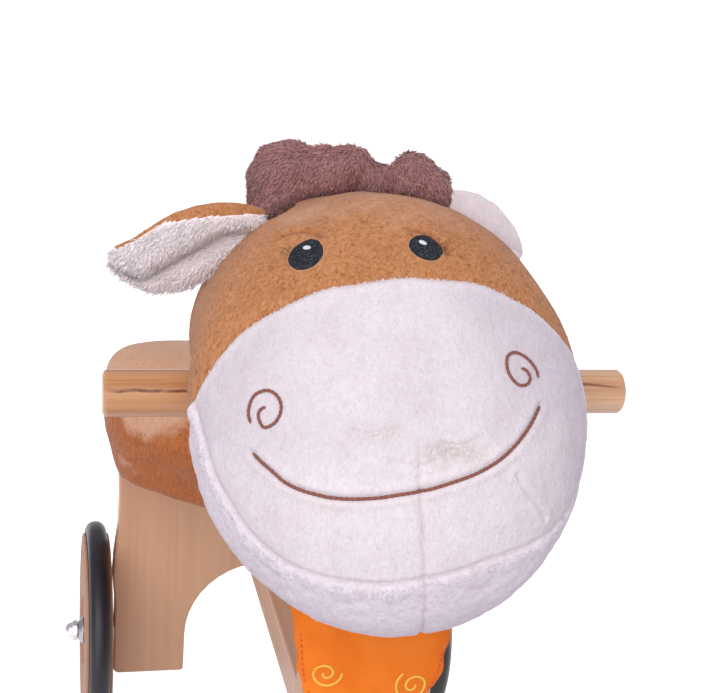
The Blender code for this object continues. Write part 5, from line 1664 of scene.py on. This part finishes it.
wheel_parts = []
for tag in ("front_left", "front_right", "rear_left", "rear_right"):
    side = 1.0 if "left" in tag else -1.0
    y = Y_BAR + (0.3120 if "rear" in tag else -0.0390)
    centre = (side * 0.1346, y, AXLE_Z)
    tyre = lathe("rubber_" + tag, tyre_profile(), centre, M["rubber"], side=side)
    disc = lathe("disc_" + tag, disc_profile(), centre, M["wood_disc"], side=side)
    for ob, node, slot in ((tyre, "tyre_" + tag, "rubber"), (disc, "wheel_disc_" + tag, "wood_disc")):
        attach(ob, "wheel_" + tag)
        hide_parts(node)
    x0 = 0.0094
    cone = [(x0, 0.0043), (x0, 0.0102), (x0 + 0.0004, 0.0105), (x0 + 0.0010, 0.0105), (x0 + 0.0016, 0.0100), (x0 + 0.0042, 0.0078), (x0 + 0.0047, 0.0072), (x0 + 0.0048, 0.0068), (x0 + 0.0048, 0.0043)]
    washer = lathe("dished_washer_" + tag, cone, centre, M["steel"], side=side)
    nut = hex_dome("dome_nut_" + tag, centre, side, x0 + 0.0051)
    for ob, node, slot in ((washer, "outer_washer_" + tag, "steel"), (nut, "cap_nut_" + tag, "chrome")):
        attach(ob, BODY)
        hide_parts(node)


# ------------------------------------------------------------------ what rides on what
def belongs(ob, slot, *nodes):
    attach(ob, BODY)
    if nodes:
        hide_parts(*nodes)


belongs(head, "plush_brown", "head")
belongs(mouth, "plush_brown")
for ob in threads + face_parts:
    belongs(ob, "plush_brown")
belongs(mane, "plush_mane", "mane")
for ob in mane_fur:
    belongs(ob, "plush_mane")
belongs(mane_fringe, "plush_mane")
belongs(ear_r, "plush_brown", "ear_right")
belongs(ear_l, "plush_brown", "ear_left")
for ob in ear_parts + head_fur:
    belongs(ob, "plush_brown")
belongs(neck, "plush_brown", "neck_sleeve")
belongs(bandana, "cotton", "bandana")
for ob in (gold, hem):
    belongs(ob, "cotton")
belongs(seat, "plush_brown", "seat_cushion")
belongs(tail, "plush_mane", "tail")
belongs(tail_fur, "plush_mane")


# ------------------------------------------------------------------ floor and light
def make_floor():
    me = bpy.data.meshes.new("floor")
    s = 40.0
    me.from_pydata([(-s, -s, 0), (s, -s, 0), (s, s, 0), (-s, s, 0)], [], [(0, 1, 2, 3)])
    t = Tree("pale_floor")
    n = t.noise(3.0, 2.0)
    t.to("Base Color", t.ramp(n, [(0.3, (0.90, 0.90, 0.90, 1)), (0.7, (0.92, 0.92, 0.92, 1))]))
    t.set(Roughness=0.9, Emission_Color=(1, 1, 1, 1), Emission_Strength=0.75, Specular_IOR_Level=0.1)
    me.materials.append(t.mat)
    ob = bpy.data.objects.new("floor", me)
    scene.collection.objects.link(ob)
    ob.visible_diffuse = False  # what it would throw back comes from the world below the horizon instead


make_floor()


def sun(name, aim, strength, spread, colour):
    data = bpy.data.lights.new(name, "SUN")
    data.energy = strength
    data.angle = math.radians(spread)
    data.color = colour
    ob = bpy.data.objects.new(name, data)
    scene.collection.objects.link(ob)
    ob.rotation_euler = Vector(aim).to_track_quat("-Z", "Y").to_euler()
    return ob


sun("key", (0.40, 0.86, -0.50), 2.0, 60.0, (1.0, 0.985, 0.975))


def make_world():
    """A soft light tent: bright above, dimmer and cooler low down."""
    world = bpy.data.worlds.new("studio")
    scene.world = world
    world.use_nodes = True
    nt = world.node_tree
    bg = nt.nodes["Background"]
    where = nt.nodes.new("ShaderNodeTexCoord")
    split = nt.nodes.new("ShaderNodeSeparateXYZ")
    nt.links.new(where.outputs["Generated"], split.inputs[0])
    up = nt.nodes.new("ShaderNodeMapRange")
    up.inputs["From Min"].default_value, up.inputs["From Max"].default_value = -1.0, 1.0
    nt.links.new(split.outputs["Z"], up.inputs["Value"])
    ramp = nt.nodes.new("ShaderNodeValToRGB")
    el = ramp.color_ramp.elements
    el[0].position, el[0].color = 0.0, (0.57, 0.52, 0.61, 1)
    el[1].position, el[1].color = 1.0, (0.74, 0.72, 0.76, 1)
    mid = el.new(0.45)
    mid.color = (0.60, 0.57, 0.64, 1)
    nt.links.new(up.outputs[0], ramp.inputs[0])
    nt.links.new(ramp.outputs[0], bg.inputs[0])
    bg.inputs[1].default_value = 0.85


make_world()

bpy.context.view_layer.update()
